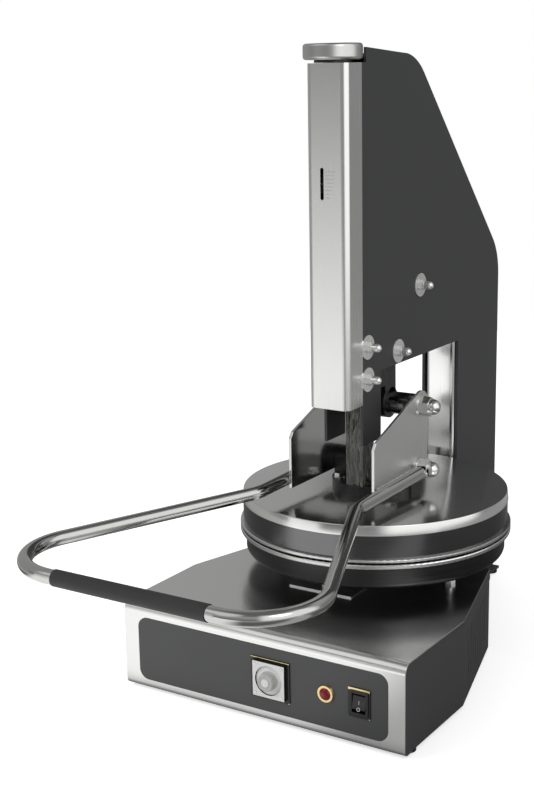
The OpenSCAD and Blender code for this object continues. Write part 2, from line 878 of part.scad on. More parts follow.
// Outline of a side plate in the YZ plane: front leg, throat, lower arm, rear edge and slope
module side_outline(m = 0) {
    rear = side_rear - m;
    top = side_level - m;
    a = slope_angle;
    slope_z = slope_level - m / cos(a) + m * tan(a);
    slope_y = rear - (top - slope_z) / tan(a);
    reach_low = slope_r * tan((90 - a) / 2);
    reach_high = slope_r * tan(a / 2);
    polygon(concat(
        [[-side_front, leg_level], [-side_front + leg_l, leg_level], [-side_front + leg_l, throat_level],
         [throat_rear, throat_level], [throat_rear, base_top], [rear_y + fit_c, base_top],
         [rear_y + fit_c, base_top - sheet_t], [-arm_front, base_top - sheet_t], [-arm_front, arm_bottom],
         [rear, arm_bottom]],
        arc([rear - slope_r, slope_z - reach_low], slope_r, 0, 90 - a),
        arc([slope_y - reach_high, top - slope_r], slope_r, 90 - a, 90),
        [[-side_front + notch_l, top + top_fall], [-side_front + notch_l, cover_high],
         [-side_front, cover_high]]
    ));
}

// Stands a YZ outline up across X from x0 to x1
module stand(x0, x1) {
    translate([x0, 0, 0]) rotate([90, 0, 90]) linear_extrude(x1 - x0) children();
}

guide_bolt_zs = [guide_level, guide_level - guide_bolt_step];

module column_plate(x0) {
    difference() {
        stand(x0, x0 + side_t) side_outline();
        for (z = guide_bolt_zs) translate([0, -guide_bolt_y, z])
            rod_x(x0 - cut, x0 + side_t + cut, bolt_d / 2 + fit_c);
        translate([0, tie_y, tie_level]) rod_x(x0 - cut, x0 + side_t + cut, bolt_d / 2 + fit_c);
        translate([0, fixed_y, fixed_level]) rod_x(x0 - cut, x0 + side_t + cut, pin_d / 2 + run_c);
    }
}

module column_plate_right() {
    color("#333436") column_plate(side_in);
}

module column_plate_left() {
    color("#333436") column_plate(-side_out);
}

// Plan of the bent cover, drawn in by a margin
module cover_plan(m) {
    w = cover_half - m;
    r = cover_r - m;
    front = -cover_front + m;
    translate([-w, front + r]) square([2 * w, cover_l + 2 * cut]);
    translate([-w + r, front]) square([2 * (w - r), cover_l]);
    for (sx = [-1, 1]) translate([sx * (w - r), front + r]) circle(r);
}

// Stainless cover on the front of the column, with the slot of the thickness scale
module front_cover() {
    slot_mid = nut_level;
    color("gainsboro") difference() {
        translate([0, 0, cover_low]) linear_extrude(cover_high - cover_low) difference() {
            cover_plan(0);
            cover_plan(sheet_t);
            translate([-base_w, -side_front]) square(2 * base_w);
        }
        translate([-scale_slot_x, -cover_front + sheet_t + cut, slot_mid]) rotate([90, 0, 0])
            linear_extrude(sheet_t + 2 * cut)
                round_rect(scale_slot_w, scale_slot_l, scale_slot_w / 2 - 0.01);
    }
}

// Share of the slope's height below which the back cover leaves the room in front of it open
back_low_share = 1 / 3;

// Sheet that closes the column along its top, slope and rear edge
module back_cover() {
    color("#333436") stand(-side_in, side_in) difference() {
        side_outline(back_inset);
        side_outline(back_inset + sheet_t);
        translate([-arm_front - cut, 0]) square([arm_front + cut - back_front, side_level + top_fall]);
        square([throat_rear + channel_l, slope_level * back_low_share]);
    }
}

// Stainless channel between the rear legs, facing the throat
module rear_channel() {
    w = side_in;
    low = base_top + support_t;
    color("gainsboro") translate([0, 0, low]) linear_extrude(channel_level - low)
        difference() {
            channel_plan(w, 0);
            channel_plan(w, sheet_t);
            translate([-w - cut, throat_rear + channel_l]) square(4 * w);
        }
}

module channel_plan(w, m) {
    r = cover_r - m;
    front = throat_rear + m;
    translate([-w + m, front + r]) square([2 * (w - m), channel_l + 2 * cut]);
    translate([-w + cover_r, front]) square([2 * (w - cover_r), channel_l]);
    for (sx = [-1, 1]) translate([sx * (w - cover_r), front + r]) circle(r);
}

// Block between the side plates in which the guide bar slides
module guide_block() {
    front = side_front - 3;
    back = bar_front - bar_l - 12;
    mid = guide_level - guide_bolt_step / 2;
    color("#3a3a3a") difference() {
        translate([-side_in, -front, mid - guide_h / 2]) cube([2 * side_in, front - back, guide_h]);
        translate([-bar_w / 2 - move_c, -bar_front - move_c, mid - guide_h])
            cube([bar_w + 2 * move_c, bar_l + 2 * move_c, 2 * guide_h]);
        for (z = guide_bolt_zs) translate([0, -guide_bolt_y, z])
            rod_x(-side_out, side_out, bolt_d / 2 + fit_c);
    }
}

column_bolt_end = side_out + washer_t + hex_share * bolt_d - 0.5;

// A column bolt: shank through both plates, hexagon head on the left
module column_bolt() {
    head = side_out + washer_t;
    rod_x(-head, column_bolt_end, bolt_d / 2);
    hex_x(-head - 0.65 * bolt_d, -head, nut_af);
}

module guide_bolts() {
    color("silver") for (z = guide_bolt_zs) translate([0, -guide_bolt_y, z]) column_bolt();
}

module tie_bolt() {
    color("silver") translate([0, tie_y, tie_level]) column_bolt();
}

// Tube on the tie bolt that holds the plates apart
module tie_tube() {
    color("silver") translate([0, tie_y, tie_level]) ring_x(-side_in, side_in, bolt_d, bolt_d / 2 + run_c);
}

// Places of the column's fasteners
column_spots = [
    [-guide_bolt_y, guide_bolt_zs[0]], [-guide_bolt_y, guide_bolt_zs[1]],
    [tie_y, tie_level], [fixed_y, fixed_level]
];

module column_washers() {
    color("silver") both_sides() for (p = column_spots) translate([0, p[0], p[1]])
        ring_x(side_out, side_out + washer_t, washer_d / 2, bolt_d / 2 + run_c);
}

module column_nuts() {
    color("silver") {
        for (i = [0:2]) translate([0, column_spots[i][0], column_spots[i][1]])
            dome_nut_x(side_out + washer_t, bolt_d, nut_af, dome_h);
        both_sides() translate([0, fixed_y, fixed_level])
            dome_nut_x(side_out + washer_t, bolt_d, nut_af, dome_h);
    }
}

/* Toggle */

// Fixed pin of the toggle through both side plates, with a thread at each end
module toggle_pin() {
    color("silver") translate([0, fixed_y, fixed_level]) {
        rod_x(-side_out, side_out, pin_d / 2);
        rod_x(-column_bolt_end, column_bolt_end, bolt_d / 2);
    }
}

module pin_spacers() {
    color("silver") both_sides() translate([0, fixed_y, fixed_level])
        ring_x(link_t / 2 + move_c, side_in, 0.8 * pin_d, pin_d / 2 + run_c);
}

// Upper link: two eyes and a bar, with a lost-motion slot at the knee
module toggle_link() {
    along = [knee_y - fixed_y, knee_level - fixed_level];
    len = norm(along);
    lean = atan2(along[0], -along[1]);
    slot_r = pin_d / 2 + slot_clear;
    color("#1c1c1c") translate([0, fixed_y, fixed_level]) rotate([lean, 0, 0]) difference() {
        union() {
            rod_x(-link_t / 2, link_t / 2, eye_d / 2);
            translate([0, 0, -len]) rod_x(-link_t / 2, link_t / 2, eye_d / 2);
            translate([-link_t / 2, -link_w / 2, -len]) cube([link_t, link_w, len]);
        }
        rod_x(-link_t, link_t, pin_d / 2 + run_c);
        translate([0, 0, -len]) rotate([-slot_slant, 0, 0]) {
            rod_x(-link_t, link_t, slot_r);
            translate([0, 0, slot_l]) rod_x(-link_t, link_t, slot_r);
            translate([-link_t, -slot_r, 0]) cube([2 * link_t, 2 * slot_r, slot_l]);
        }
    }
}

module knee_shaft() {
    color("silver") translate([0, knee_y, knee_level]) rod_x(-pin_end, pin_end, pin_d / 2);
}

module knee_spacers() {
    color("#1c1c1c") both_sides() translate([0, knee_y, knee_level])
        ring_x(link_t / 2 + move_c, lever_in, spacer_d / 2, pin_d / 2 + run_c);
}

module knee_nuts() {
    color("silver") both_sides() translate([0, knee_y, knee_level]) {
        ring_x(lever_out, lever_out + big_washer_t, 0.46 * washer_d, pin_d / 2 + run_c);
        dome_nut_x(lever_out + big_washer_t, pin_d, big_nut_af, big_dome_h);
    }
}

// Outline of a lever plate in the YZ plane: rounded at the knee and the pivot, sloping to the front
module lever_outline() {
    knee = [knee_y, knee_level];
    pivot = [pivot_y, pivot_level];
    low = pivot_level - lever_drop;
    front = -lever_front;
    corner = [front, low + lever_front_h];
    reach = knee - corner;
    far = norm(reach);
    tangent = atan2(reach[1], reach[0]) + asin(lever_r / far) + 90;
    corner_r = 6;
    polygon(concat(
        [[front, low], [pivot_y + lever_r - corner_r, low]],
        arc([pivot_y + lever_r - corner_r, low + corner_r], corner_r, -90, 0, 6),
        arc(knee, lever_r, 0, tangent),
        [corner + [corner_r, corner_r * tan(tangent - 90)], corner - [0, corner_r]]
    ));
}

module lever_plate(x0) {
    difference() {
        stand(x0, x0 + lever_t) lever_outline();
        translate([0, pivot_y, pivot_level]) rod_x(x0 - cut, x0 + lever_t + cut, pin_d / 2 + run_c);
        translate([0, knee_y, knee_level]) rod_x(x0 - cut, x0 + lever_t + cut, pin_d / 2 + run_c);
    }
}

module lever_plate_right() {
    color("silver") lever_plate(lever_in);
}

module lever_plate_left() {
    color("silver") lever_plate(-lever_out);
}

/* Handle */

// Bends of one arm in the handle's plane, X across and Y along
bend_lap = 0.5;
arm_end = pivot_y - 0.46 * washer_d - 2;
spread_angle = atan2(handle_w / 2 - arm_x, handle_reach - spread_y);
spread_cut = spread_r * tan(spread_angle / 2);
corner_angle = 90 + spread_angle;
corner_bend = min(corner_r, (handle_w - grip_l) / 2 / tan(corner_angle / 2));
corner_cut = corner_bend * tan(corner_angle / 2);
arm_run = norm([handle_w / 2 - arm_x, handle_reach - spread_y]) - spread_cut - corner_cut;

// Section of the tube, its wall drawn in by a margin
module tube_ring(m = 0) {
    difference() {
        circle(tube_d / 2 - m);
        circle(tube_d / 2 - tube_wall + m);
    }
}

// A bent piece of tube in the XY plane: starts at the origin along -Y and turns towards turn * X
module bend(r, angle, turn) {
    translate([turn * r, 0, 0]) rotate([0, 0, turn > 0 ? 180 : -angle])
        rotate_extrude(angle = angle, $fn = 96) translate([r, 0]) tube_ring();
}

// A straight piece of tube along -Y from the origin, let into the bends by lap0 and lap1
module run(l, lap0, lap1) {
    translate([0, lap0, 0]) rotate([90, 0, 0]) linear_extrude(l + lap0 + lap1) tube_ring(run_c);
}

// One arm from its end at the lever plate to the front bar
module arm_bar() {
    first = arm_end + spread_y - spread_cut;
    translate([arm_x, arm_end, 0]) {
        run(first, 0, bend_lap);
        translate([0, -first, 0]) {
            bend(spread_r, spread_angle, 1);
            translate([spread_r * (1 - cos(spread_angle)), -spread_r * sin(spread_angle), 0])
                rotate([0, 0, spread_angle]) {
                    run(arm_run, bend_lap, bend_lap);
                    translate([0, -arm_run, 0]) bend(corner_bend, corner_angle, -1);
                }
        }
    }
}

// Puts the handle's plane at its height and slope
module handle_plane() {
    translate([0, pivot_y, pivot_level - handle_drop]) rotate([handle_slope, 0, 0])
        translate([0, -pivot_y, 0]) children();
}

module handle_tube() {
    straight = handle_w - 2 * corner_cut;
    color("silver") handle_plane() {
        both_sides() arm_bar();
        translate([straight / 2, -handle_reach, 0]) rotate([0, 0, -90]) run(straight, bend_lap, bend_lap);
    }
}

module handle_grip() {
    color("#161616") handle_plane() translate([0, -handle_reach, 0])
        ring_x(-grip_l / 2, grip_l / 2, grip_d / 2, tube_d / 2 + run_c);
}

/* Thickness adjuster */

// Bracket across the column that carries the spindle
module spindle_bracket(z) {
    nose = 21;
    back = bar_front + 2;
    difference() {
        union() {
            translate([-side_in, -side_front, z]) cube([2 * side_in, side_front - back, bracket_t]);
            translate([-nose, -cover_front + sheet_t, z]) cube([2 * nose, cover_l, bracket_t]);
        }
        translate([0, -knob_y, z - cut]) cylinder(h = bracket_t + 2 * cut, r = spindle_d / 2 + run_c);
    }
}

top_bracket_z = cover_high - 6 - bracket_t;
lower_bracket_z = spindle_low + 4;

module top_bracket() {
    color("dimgray") spindle_bracket(top_bracket_z);
}

module lower_bracket() {
    color("dimgray") spindle_bracket(lower_bracket_z);
}

spindle_top = knob_bottom + knob_h / 2;

module adjusting_spindle() {
    collar_z = lower_bracket_z + bracket_t + move_c;
    color("silver") translate([0, -knob_y, 0]) {
        translate([0, 0, spindle_low]) cylinder(h = spindle_top - spindle_low, d = spindle_d);
        translate([0, 0, collar_z]) cylinder(h = 6, d = spindle_d + 6);
    }
}

// Turned knob with rounded edges and a hub
module adjusting_knob() {
    r = knob_d / 2;
    hub_r = 0.31 * knob_d;
    boss_z = top_bracket_z + bracket_t + move_c;
    color("gainsboro") translate([0, -knob_y, 0]) difference() {
        union() {
            translate([0, 0, knob_bottom]) rotate_extrude($fn = 96) {
                square([r - knob_r, knob_h]);
                translate([0, knob_r]) square([r, knob_h - 2 * knob_r]);
                translate([r - knob_r, knob_r]) intersection() {
                    circle(knob_r);
                    translate([-r + knob_r, -knob_r]) square([2 * r, knob_h]);
                }
                translate([r - knob_r, knob_h - knob_r]) circle(knob_r);
            }
            translate([0, 0, cover_high + move_c]) cylinder(h = knob_gap, r = hub_r);
            translate([0, 0, boss_z]) cylinder(h = cover_high - boss_z + cut, r = spindle_d / 2 + 6);
        }
        translate([0, 0, boss_z - cut]) cylinder(h = spindle_top - boss_z + cut, r = spindle_d / 2 + run_c);
    }
}

// Block on the spindle with an arm under the catch and a pointer in the slot
module stop_nut() {
    w = 2 * (cover_half - cover_r);
    front = cover_front - sheet_t - move_c - 2;
    color("#2b2b2b") difference() {
        union() {
            translate([-w / 2, -front, nut_level - nut_h / 2]) cube([w, front - side_front, nut_h]);
            translate([-bar_w / 2 + 1, -side_front - cut, nut_level])
                cube([bar_w - 2, side_front - bar_front - 4 + cut, nut_h / 2]);
            translate([-scale_slot_x - 1.25, -cover_front + 0.4, nut_level - 1]) cube([2.5, 6, 2]);
        }
        translate([0, -knob_y, nut_level - nut_h]) cylinder(h = 2 * nut_h, r = spindle_d / 2 + run_c);
    }
}

placed() base_shell();
placed() side_panel_left();
placed() side_panel_right();
placed() rear_panel();
placed() bottom_plate();
placed() ground_plate();
placed() feet();
placed() cable_gland();
placed() control_panel();
placed() controller_housing();
placed() controller_dial();
placed() lamp_bezel();
placed() lamp_lens();
placed() switch_frame();
placed() switch_rocker();
placed() support_plate();
placed() pan_supports();
placed() lower_pan();
placed() lower_plate();
placed() lower_heater();
placed() upper_plate();
placed() upper_heater();
placed() upper_band();
placed() upper_lid();
placed() press_boss();
placed() boss_bolts();
placed() guide_bar();
placed() stop_catch();
placed() lever_pins();
placed() lever_nuts();
placed() column_plate_left();
placed() column_plate_right();
placed() front_cover();
placed() back_cover();
placed() rear_channel();
placed() guide_block();
placed() guide_bolts();
placed() tie_bolt();
placed() tie_tube();
placed() column_washers();
placed() column_nuts();
placed() toggle_pin();
placed() pin_spacers();
placed() toggle_link();
placed() knee_shaft();
placed() knee_spacers();
placed() knee_nuts();
placed() lever_plate_left();
placed() lever_plate_right();
placed() handle_tube();
placed() handle_grip();
placed() top_bracket();
placed() lower_bracket();
placed() adjusting_spindle();
placed() adjusting_knob();
placed() stop_nut();
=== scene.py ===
import bpy
import bmesh
import math
from mathutils import Matrix, Vector


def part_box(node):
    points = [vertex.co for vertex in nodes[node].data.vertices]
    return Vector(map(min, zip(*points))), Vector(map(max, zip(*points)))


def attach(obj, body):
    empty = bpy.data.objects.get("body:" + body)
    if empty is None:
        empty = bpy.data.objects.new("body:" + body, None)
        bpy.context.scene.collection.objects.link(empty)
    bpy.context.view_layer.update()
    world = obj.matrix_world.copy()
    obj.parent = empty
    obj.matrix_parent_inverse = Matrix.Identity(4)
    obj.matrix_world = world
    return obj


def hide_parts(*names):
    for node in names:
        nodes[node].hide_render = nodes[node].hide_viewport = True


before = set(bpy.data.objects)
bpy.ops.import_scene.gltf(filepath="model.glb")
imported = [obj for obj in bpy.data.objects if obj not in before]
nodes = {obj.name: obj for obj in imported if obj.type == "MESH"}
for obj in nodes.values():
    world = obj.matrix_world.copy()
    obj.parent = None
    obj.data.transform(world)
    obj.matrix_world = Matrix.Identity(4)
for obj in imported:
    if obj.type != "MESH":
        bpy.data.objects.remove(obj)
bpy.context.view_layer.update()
scene = bpy.context.scene
mm = 0.001
print("frame loaded:", len(nodes), "nodes")


# Camera, set to the photograph's view

cameraSet = {
    "place": (0.9138, -1.5693, 0.8041),
    "azimuth": 33.09,
    "elevation": 13.17,
    "roll": -1.12,
    "lens": 63.02,
    "sensor": 36.0,
}


def addCamera(s):
    az = math.radians(s["azimuth"])
    el = math.radians(s["elevation"])
    roll = math.radians(s["roll"])
    ahead = Vector((-math.sin(az) * math.cos(el), math.cos(az) * math.cos(el), -math.sin(el)))
    right = Vector((math.cos(az), math.sin(az), 0))
    up = right.cross(ahead)
    across = right * math.cos(roll) + up * math.sin(roll)
    upright = up * math.cos(roll) - right * math.sin(roll)
    turn = Matrix((across, upright, -ahead)).transposed().to_4x4()
    data = bpy.data.cameras.new("camera")
    data.sensor_fit = "VERTICAL"
    data.sensor_height = s["sensor"]
    data.lens = s["lens"]
    camera = bpy.data.objects.new("camera", data)
    camera.matrix_world = Matrix.Translation(s["place"]) @ turn
    scene.collection.objects.link(camera)
    scene.camera = camera


addCamera(cameraSet)
print("camera set")


# Shader helpers

def addNode(tree, kind, **values):
    node = tree.nodes.new(kind)
    for name, value in values.items():
        setattr(node, name, value)
    return node


def join(tree, source, target):
    tree.links.new(source, target)


def startGroup(name, ins, outs):
    group = bpy.data.node_groups.new(name, "ShaderNodeTree")
    for label, kind, value in ins:
        socket = group.interface.new_socket(name=label, in_out="INPUT", socket_type="NodeSocket" + kind)
        socket.default_value = value
    for label, kind in outs:
        group.interface.new_socket(name=label, in_out="OUTPUT", socket_type="NodeSocket" + kind)
    return group, addNode(group, "NodeGroupInput"), addNode(group, "NodeGroupOutput")


# A number goes on the socket itself, anything else is linked to it
def feed(tree, value, socket):
    if isinstance(value, (int, float)):
        socket.default_value = value
    else:
        join(tree, value, socket)


def mathNode(tree, operation, a, b=None):
    node = addNode(tree, "ShaderNodeMath", operation=operation)
    feed(tree, a, node.inputs[0])
    if b is not None:
        feed(tree, b, node.inputs[1])
    return node.outputs[0]


def rangeNode(tree, value, low, high, fromLow, fromHigh, kind="LINEAR"):
    node = addNode(tree, "ShaderNodeMapRange", interpolation_type=kind)
    join(tree, value, node.inputs["Value"])
    node.inputs["From Min"].default_value = fromLow
    node.inputs["From Max"].default_value = fromHigh
    feed(tree, low, node.inputs["To Min"])
    feed(tree, high, node.inputs["To Max"])
    return node.outputs["Result"]


# Goes smoothly from low to high between the two ends of edge
def fade(tree, value, edge, low=0.0, high=1.0):
    return rangeNode(tree, value, low, high, *edge, "SMOOTHSTEP")


# a where the factor is 0, b where it is 1
def between(tree, factor, a, b):
    return rangeNode(tree, factor, a, b, 0.0, 1.0)


def noiseNode(tree, vector, scale, detail):
    node = addNode(tree, "ShaderNodeTexNoise")
    join(tree, vector, node.inputs["Vector"])
    feed(tree, scale, node.inputs["Scale"])
    node.inputs["Detail"].default_value = detail
    return node.outputs["Fac"]


def splitNode(tree, vector):
    node = addNode(tree, "ShaderNodeSeparateXYZ")
    join(tree, vector, node.inputs[0])
    return node.outputs


surfaceIns = [("Rough Low", "Float", 0.25), ("Rough High", "Float", 0.4),
              ("Tone Low", "Float", 0.9), ("Tone High", "Float", 1.05)]
surfaceOuts = [("Tone", "Float"), ("Rough", "Float"), ("Height", "Float")]


# Inside the grain groups: share and detail of the fine pattern, scale and detail of the broad one
grainSet = {
    "brushed": {"share": 0.6, "detail": 4.0, "broad": 9.0, "broadDetail": 2.0},
    "turned": {"share": 0.65, "detail": 3.0, "broad": 11.0, "broadDetail": 2.0, "drift": 0.7},
    "coat": {"share": 0.45, "detail": 2.0, "broadDetail": 3.0},
}
noiseSpan = (0.3, 0.7)           # where most values of a noise lie

edgeSet = {
    "radius": 0.7 * mm,
    "samples": 5,
    "bent": (0.01, 0.12),        # how far the normal turns where wear begins, and where it is full
    "patches": 60.0,             # breaks in the wear
    "patchDetail": 3.0,
    "patchFrom": (0.35, 0.6),
    "patchLow": 0.25,
}


# Tone and roughness from a fine and a broad pattern, bump from the fine one
def mixGrain(group, ins, outs, fine, broad, share):
    mixed = mathNode(group, "ADD", mathNode(group, "MULTIPLY", fine, share),
                     mathNode(group, "MULTIPLY", broad, 1 - share))
    for label in ("Tone", "Rough"):
        ends = ins.outputs[label + " Low"], ins.outputs[label + " High"]
        join(group, rangeNode(group, mixed, *ends, *noiseSpan), outs.inputs[label])
    join(group, fine, outs.inputs["Height"])


# Long fine lines left by a belt, with broad smears over them
def makeBrushedGroup(s):
    sockets = [("Stretch", "Vector", (4, 400, 400))] + surfaceIns
    group, ins, outs = startGroup("brushedGrain", sockets, surfaceOuts)
    place = addNode(group, "ShaderNodeTexCoord").outputs["Object"]
    stretch = addNode(group, "ShaderNodeVectorMath", operation="MULTIPLY")
    join(group, place, stretch.inputs[0])
    join(group, ins.outputs["Stretch"], stretch.inputs[1])
    lines = noiseNode(group, stretch.outputs[0], 1.0, s["detail"])
    smears = noiseNode(group, place, s["broad"], s["broadDetail"])
    mixGrain(group, ins, outs, lines, smears, s["share"])
    return group


# Rings left by a lathe or a polishing wheel round an upright axis
def makeTurnedGroup(s):
    sockets = [("Centre", "Vector", (0, 0, 0)), ("Rings", "Float", 900.0)] + surfaceIns
    group, ins, outs = startGroup("turnedGrain", sockets, surfaceOuts)
    place = addNode(group, "ShaderNodeTexCoord").outputs["Object"]
    offset = addNode(group, "ShaderNodeVectorMath", operation="SUBTRACT")
    join(group, place, offset.inputs[0])
    join(group, ins.outputs["Centre"], offset.inputs[1])
    x, y, z = splitNode(group, offset.outputs[0])
    squares = [mathNode(group, "MULTIPLY", side, side) for side in (x, y)]
    radius = mathNode(group, "SQRT", mathNode(group, "ADD", *squares))
    angle = mathNode(group, "ARCTAN2", y, x)
    lines = addNode(group, "ShaderNodeCombineXYZ")
    join(group, mathNode(group, "MULTIPLY", radius, ins.outputs["Rings"]), lines.inputs[0])
    join(group, mathNode(group, "MULTIPLY", angle, s["drift"]), lines.inputs[1])
    join(group, mathNode(group, "MULTIPLY", z, ins.outputs["Rings"]), lines.inputs[2])
    rings = noiseNode(group, lines.outputs[0], 1.0, s["detail"])
    smears = noiseNode(group, place, s["broad"], s["broadDetail"])
    mixGrain(group, ins, outs, rings, smears, s["share"])
    return group


# Fine even grain of paint, plastic or rubber, with soft mottling
def makeCoatGroup(s):
    sockets = [("Grain", "Float", 900.0), ("Mottle", "Float", 14.0)] + surfaceIns
    group, ins, outs = startGroup("coatGrain", sockets, surfaceOuts)
    place = addNode(group, "ShaderNodeTexCoord").outputs["Object"]
    grain = noiseNode(group, place, ins.outputs["Grain"], s["detail"])
    mottle = noiseNode(group, place, ins.outputs["Mottle"], s["broadDetail"])
    mixGrain(group, ins, outs, grain, mottle, s["share"])
    return group


# Rounded normals along sharp edges, and a mask where handling wears them bright
def makeEdgeGroup(s):
    group, ins, outs = startGroup("wornEdge", [("Radius", "Float", s["radius"])],
                                  [("Mask", "Float"), ("Normal", "Vector")])
    bevel = addNode(group, "ShaderNodeBevel", samples=s["samples"])
    join(group, ins.outputs["Radius"], bevel.inputs["Radius"])
    face = addNode(group, "ShaderNodeNewGeometry")
    dot = addNode(group, "ShaderNodeVectorMath", operation="DOT_PRODUCT")
    join(group, bevel.outputs[0], dot.inputs[0])
    join(group, face.outputs["Normal"], dot.inputs[1])
    bent = mathNode(group, "SUBTRACT", 1.0, dot.outputs["Value"])
    place = addNode(group, "ShaderNodeTexCoord").outputs["Object"]
    patches = noiseNode(group, place, s["patches"], s["patchDetail"])
    broken = mathNode(group, "MULTIPLY", rangeNode(group, bent, 0.0, 1.0, *s["bent"]),
                      rangeNode(group, patches, s["patchLow"], 1.0, *s["patchFrom"]))
    join(group, broken, outs.inputs["Mask"])
    join(group, bevel.outputs[0], outs.inputs["Normal"])
    return group


grainGroups = {
    "brushed": makeBrushedGroup(grainSet["brushed"]),
    "turned": makeTurnedGroup(grainSet["turned"]),
    "coat": makeCoatGroup(grainSet["coat"]),
}
edgeGroup = makeEdgeGroup(edgeSet)
print("shader groups made")


# What a finish has where it says nothing else
plainFinish = {"edge": edgeSet["radius"], "bump": 0.1, "depth": 0.0002, "metal": 0.0, "pattern": {},
               "shader": {}}
wearGain = 1.15                  # worn edges against the finish's own colour
platenAxis = (0, 0.108, 0)       # the rings on the platens run round this


# One finish: a grain group for tone, roughness and bump, and worn edges
def makeFinish(name, values):
    s = {**plainFinish, **values}
    material = bpy.data.materials.new(name)
    material.use_nodes = True
    tree = material.node_tree
    shader = tree.nodes["Principled BSDF"]
    grain = addNode(tree, "ShaderNodeGroup", node_tree=grainGroups[s["grain"]])
    for label, ends in (("Rough", s["rough"]), ("Tone", s["tone"])):
        grain.inputs[label + " Low"].default_value = ends[0]
        grain.inputs[label + " High"].default_value = ends[1]
    for label, value in s["pattern"].items():
        grain.inputs[label].default_value = value
    edge = addNode(tree, "ShaderNodeGroup", node_tree=edgeGroup)
    edge.inputs["Radius"].default_value = s["edge"]

    tint = addNode(tree, "ShaderNodeMix", data_type="RGBA", blend_type="MULTIPLY")
    tint.inputs["Factor"].default_value = 1.0
    tint.inputs["A"].default_value = (*s["colour"], 1)
    join(tree, grain.outputs["Tone"], tint.inputs["B"])
    worn = addNode(tree, "ShaderNodeMix", data_type="RGBA")
    worn.inputs["B"].default_value = (*s.get("wear", [min(1, wearGain * c) for c in s["colour"]]), 1)
    join(tree, edge.outputs["Mask"], worn.inputs["Factor"])
    join(tree, tint.outputs["Result"], worn.inputs["A"])
    join(tree, worn.outputs["Result"], shader.inputs["Base Color"])
    join(tree, grain.outputs["Rough"], shader.inputs["Roughness"])

    bump = addNode(tree, "ShaderNodeBump")
    bump.inputs["Strength"].default_value = s["bump"]
    bump.inputs["Distance"].default_value = s["depth"]
    join(tree, grain.outputs["Height"], bump.inputs["Height"])
    join(tree, edge.outputs["Normal"], bump.inputs["Normal"])
    join(tree, bump.outputs["Normal"], shader.inputs["Normal"])

    shader.inputs["Metallic"].default_value = s["metal"]
    for label, value in s["shader"].items():
        shader.inputs[label].default_value = value
    return material


# Metal finishes

frontSteel = makeFinish("frontSteel", {
    "grain": "brushed", "colour": (0.80, 0.80, 0.79), "metal": 1.0, "rough": (0.17, 0.24),
    "tone": (0.97, 1.0), "pattern": {"Stretch": (5, 900, 900)}, "bump": 0.015,
    "wear": (0.95, 0.95, 0.94)})

coverSteel = makeFinish("coverSteel", {
    "grain": "brushed", "colour": (0.82, 0.82, 0.81), "metal": 1.0, "rough": (0.22, 0.29),
    "tone": (0.97, 1.0), "pattern": {"Stretch": (900, 900, 5)}, "bump": 0.015,
    "wear": (0.95, 0.95, 0.94)})

channelSteel = makeFinish("channelSteel", {
    "grain": "brushed", "colour": (0.82, 0.82, 0.81), "metal": 1.0, "rough": (0.1, 0.17),
    "tone": (0.97, 1.0), "pattern": {"Stretch": (900, 900, 5)}, "bump": 0.015,
    "wear": (0.95, 0.95, 0.94)})

lidSteel = makeFinish("lidSteel", {
    "grain": "turned", "colour": (0.78, 0.78, 0.77), "metal": 1.0, "rough": (0.12, 0.2),
    "tone": (0.94, 1.0), "pattern": {"Centre": platenAxis, "Rings": 700.0}, "bump": 0.015,
    "wear": (0.92, 0.92, 0.9)})

plateMetal = makeFinish("plateMetal", {
    "grain": "turned", "colour": (0.74, 0.74, 0.73), "metal": 1.0, "rough": (0.2, 0.34),
    "tone": (0.88, 1.0), "pattern": {"Centre": platenAxis, "Rings": 1500.0}, "bump": 0.08,
    "wear": (0.9, 0.9, 0.89)})

knobSteel = makeFinish("knobSteel", {
    "grain": "turned", "colour": (0.62, 0.62, 0.61), "metal": 1.0, "rough": (0.3, 0.36),
    "tone": (0.97, 1.0), "pattern": {"Centre": (0, 0, 0), "Rings": 1600.0}, "bump": 0.015,
    "wear": (0.9, 0.9, 0.89)})

leverSteel = makeFinish("leverSteel", {
    "grain": "coat", "colour": (0.76, 0.76, 0.75), "metal": 1.0, "rough": (0.26, 0.38),
    "tone": (0.92, 1.02), "pattern": {"Grain": 500.0, "Mottle": 18.0}, "bump": 0.05, "edge": 0.001,
    "wear": (0.95, 0.95, 0.94)})

# Left lever plate: a darker, glossier copy of the right plate's leverSteel, painted shade on the left
# plate
polishedLeverShade = makeFinish("polishedLeverShade", {
    "grain": "coat", "colour": (0.6, 0.6, 0.59), "metal": 1.0, "rough": (0.1, 0.18),
    "tone": (0.9, 1.02), "pattern": {"Grain": 500.0, "Mottle": 18.0}, "bump": 0.03, "edge": 0.001,
    "wear": (0.95, 0.95, 0.94)})

weldSteel = makeFinish("weldSteel", {
    "grain": "coat", "colour": (0.6, 0.59, 0.57), "metal": 1.0, "rough": (0.14, 0.32),
    "tone": (0.5, 1.2), "pattern": {"Grain": 900.0, "Mottle": 220.0}, "bump": 0.2, "edge": 0.0003})

tubeSteel = makeFinish("tubeSteel", {
    "grain": "coat", "colour": (0.58, 0.58, 0.57), "metal": 1.0, "rough": (0.1, 0.16),
    "tone": (0.93, 1.0), "pattern": {"Grain": 900.0, "Mottle": 24.0}, "bump": 0.02,
    "wear": (0.85, 0.85, 0.84)})

fastenerSteel = makeFinish("fastenerSteel", {
    "grain": "coat", "colour": (0.78, 0.78, 0.76), "metal": 1.0, "rough": (0.07, 0.19),
    "tone": (0.8, 1.03), "pattern": {"Grain": 700.0, "Mottle": 160.0}, "bump": 0.06, "edge": 0.0005,
    "wear": (0.95, 0.95, 0.93)})

zincSteel = makeFinish("zincSteel", {
    "grain": "coat", "colour": (0.92, 0.92, 0.91), "metal": 0.72, "rough": (0.1, 0.26),
    "tone": (0.85, 1.04), "pattern": {"Grain": 700.0, "Mottle": 160.0}, "bump": 0.06,
    "edge": 0.0005, "wear": (0.95, 0.95, 0.93)})

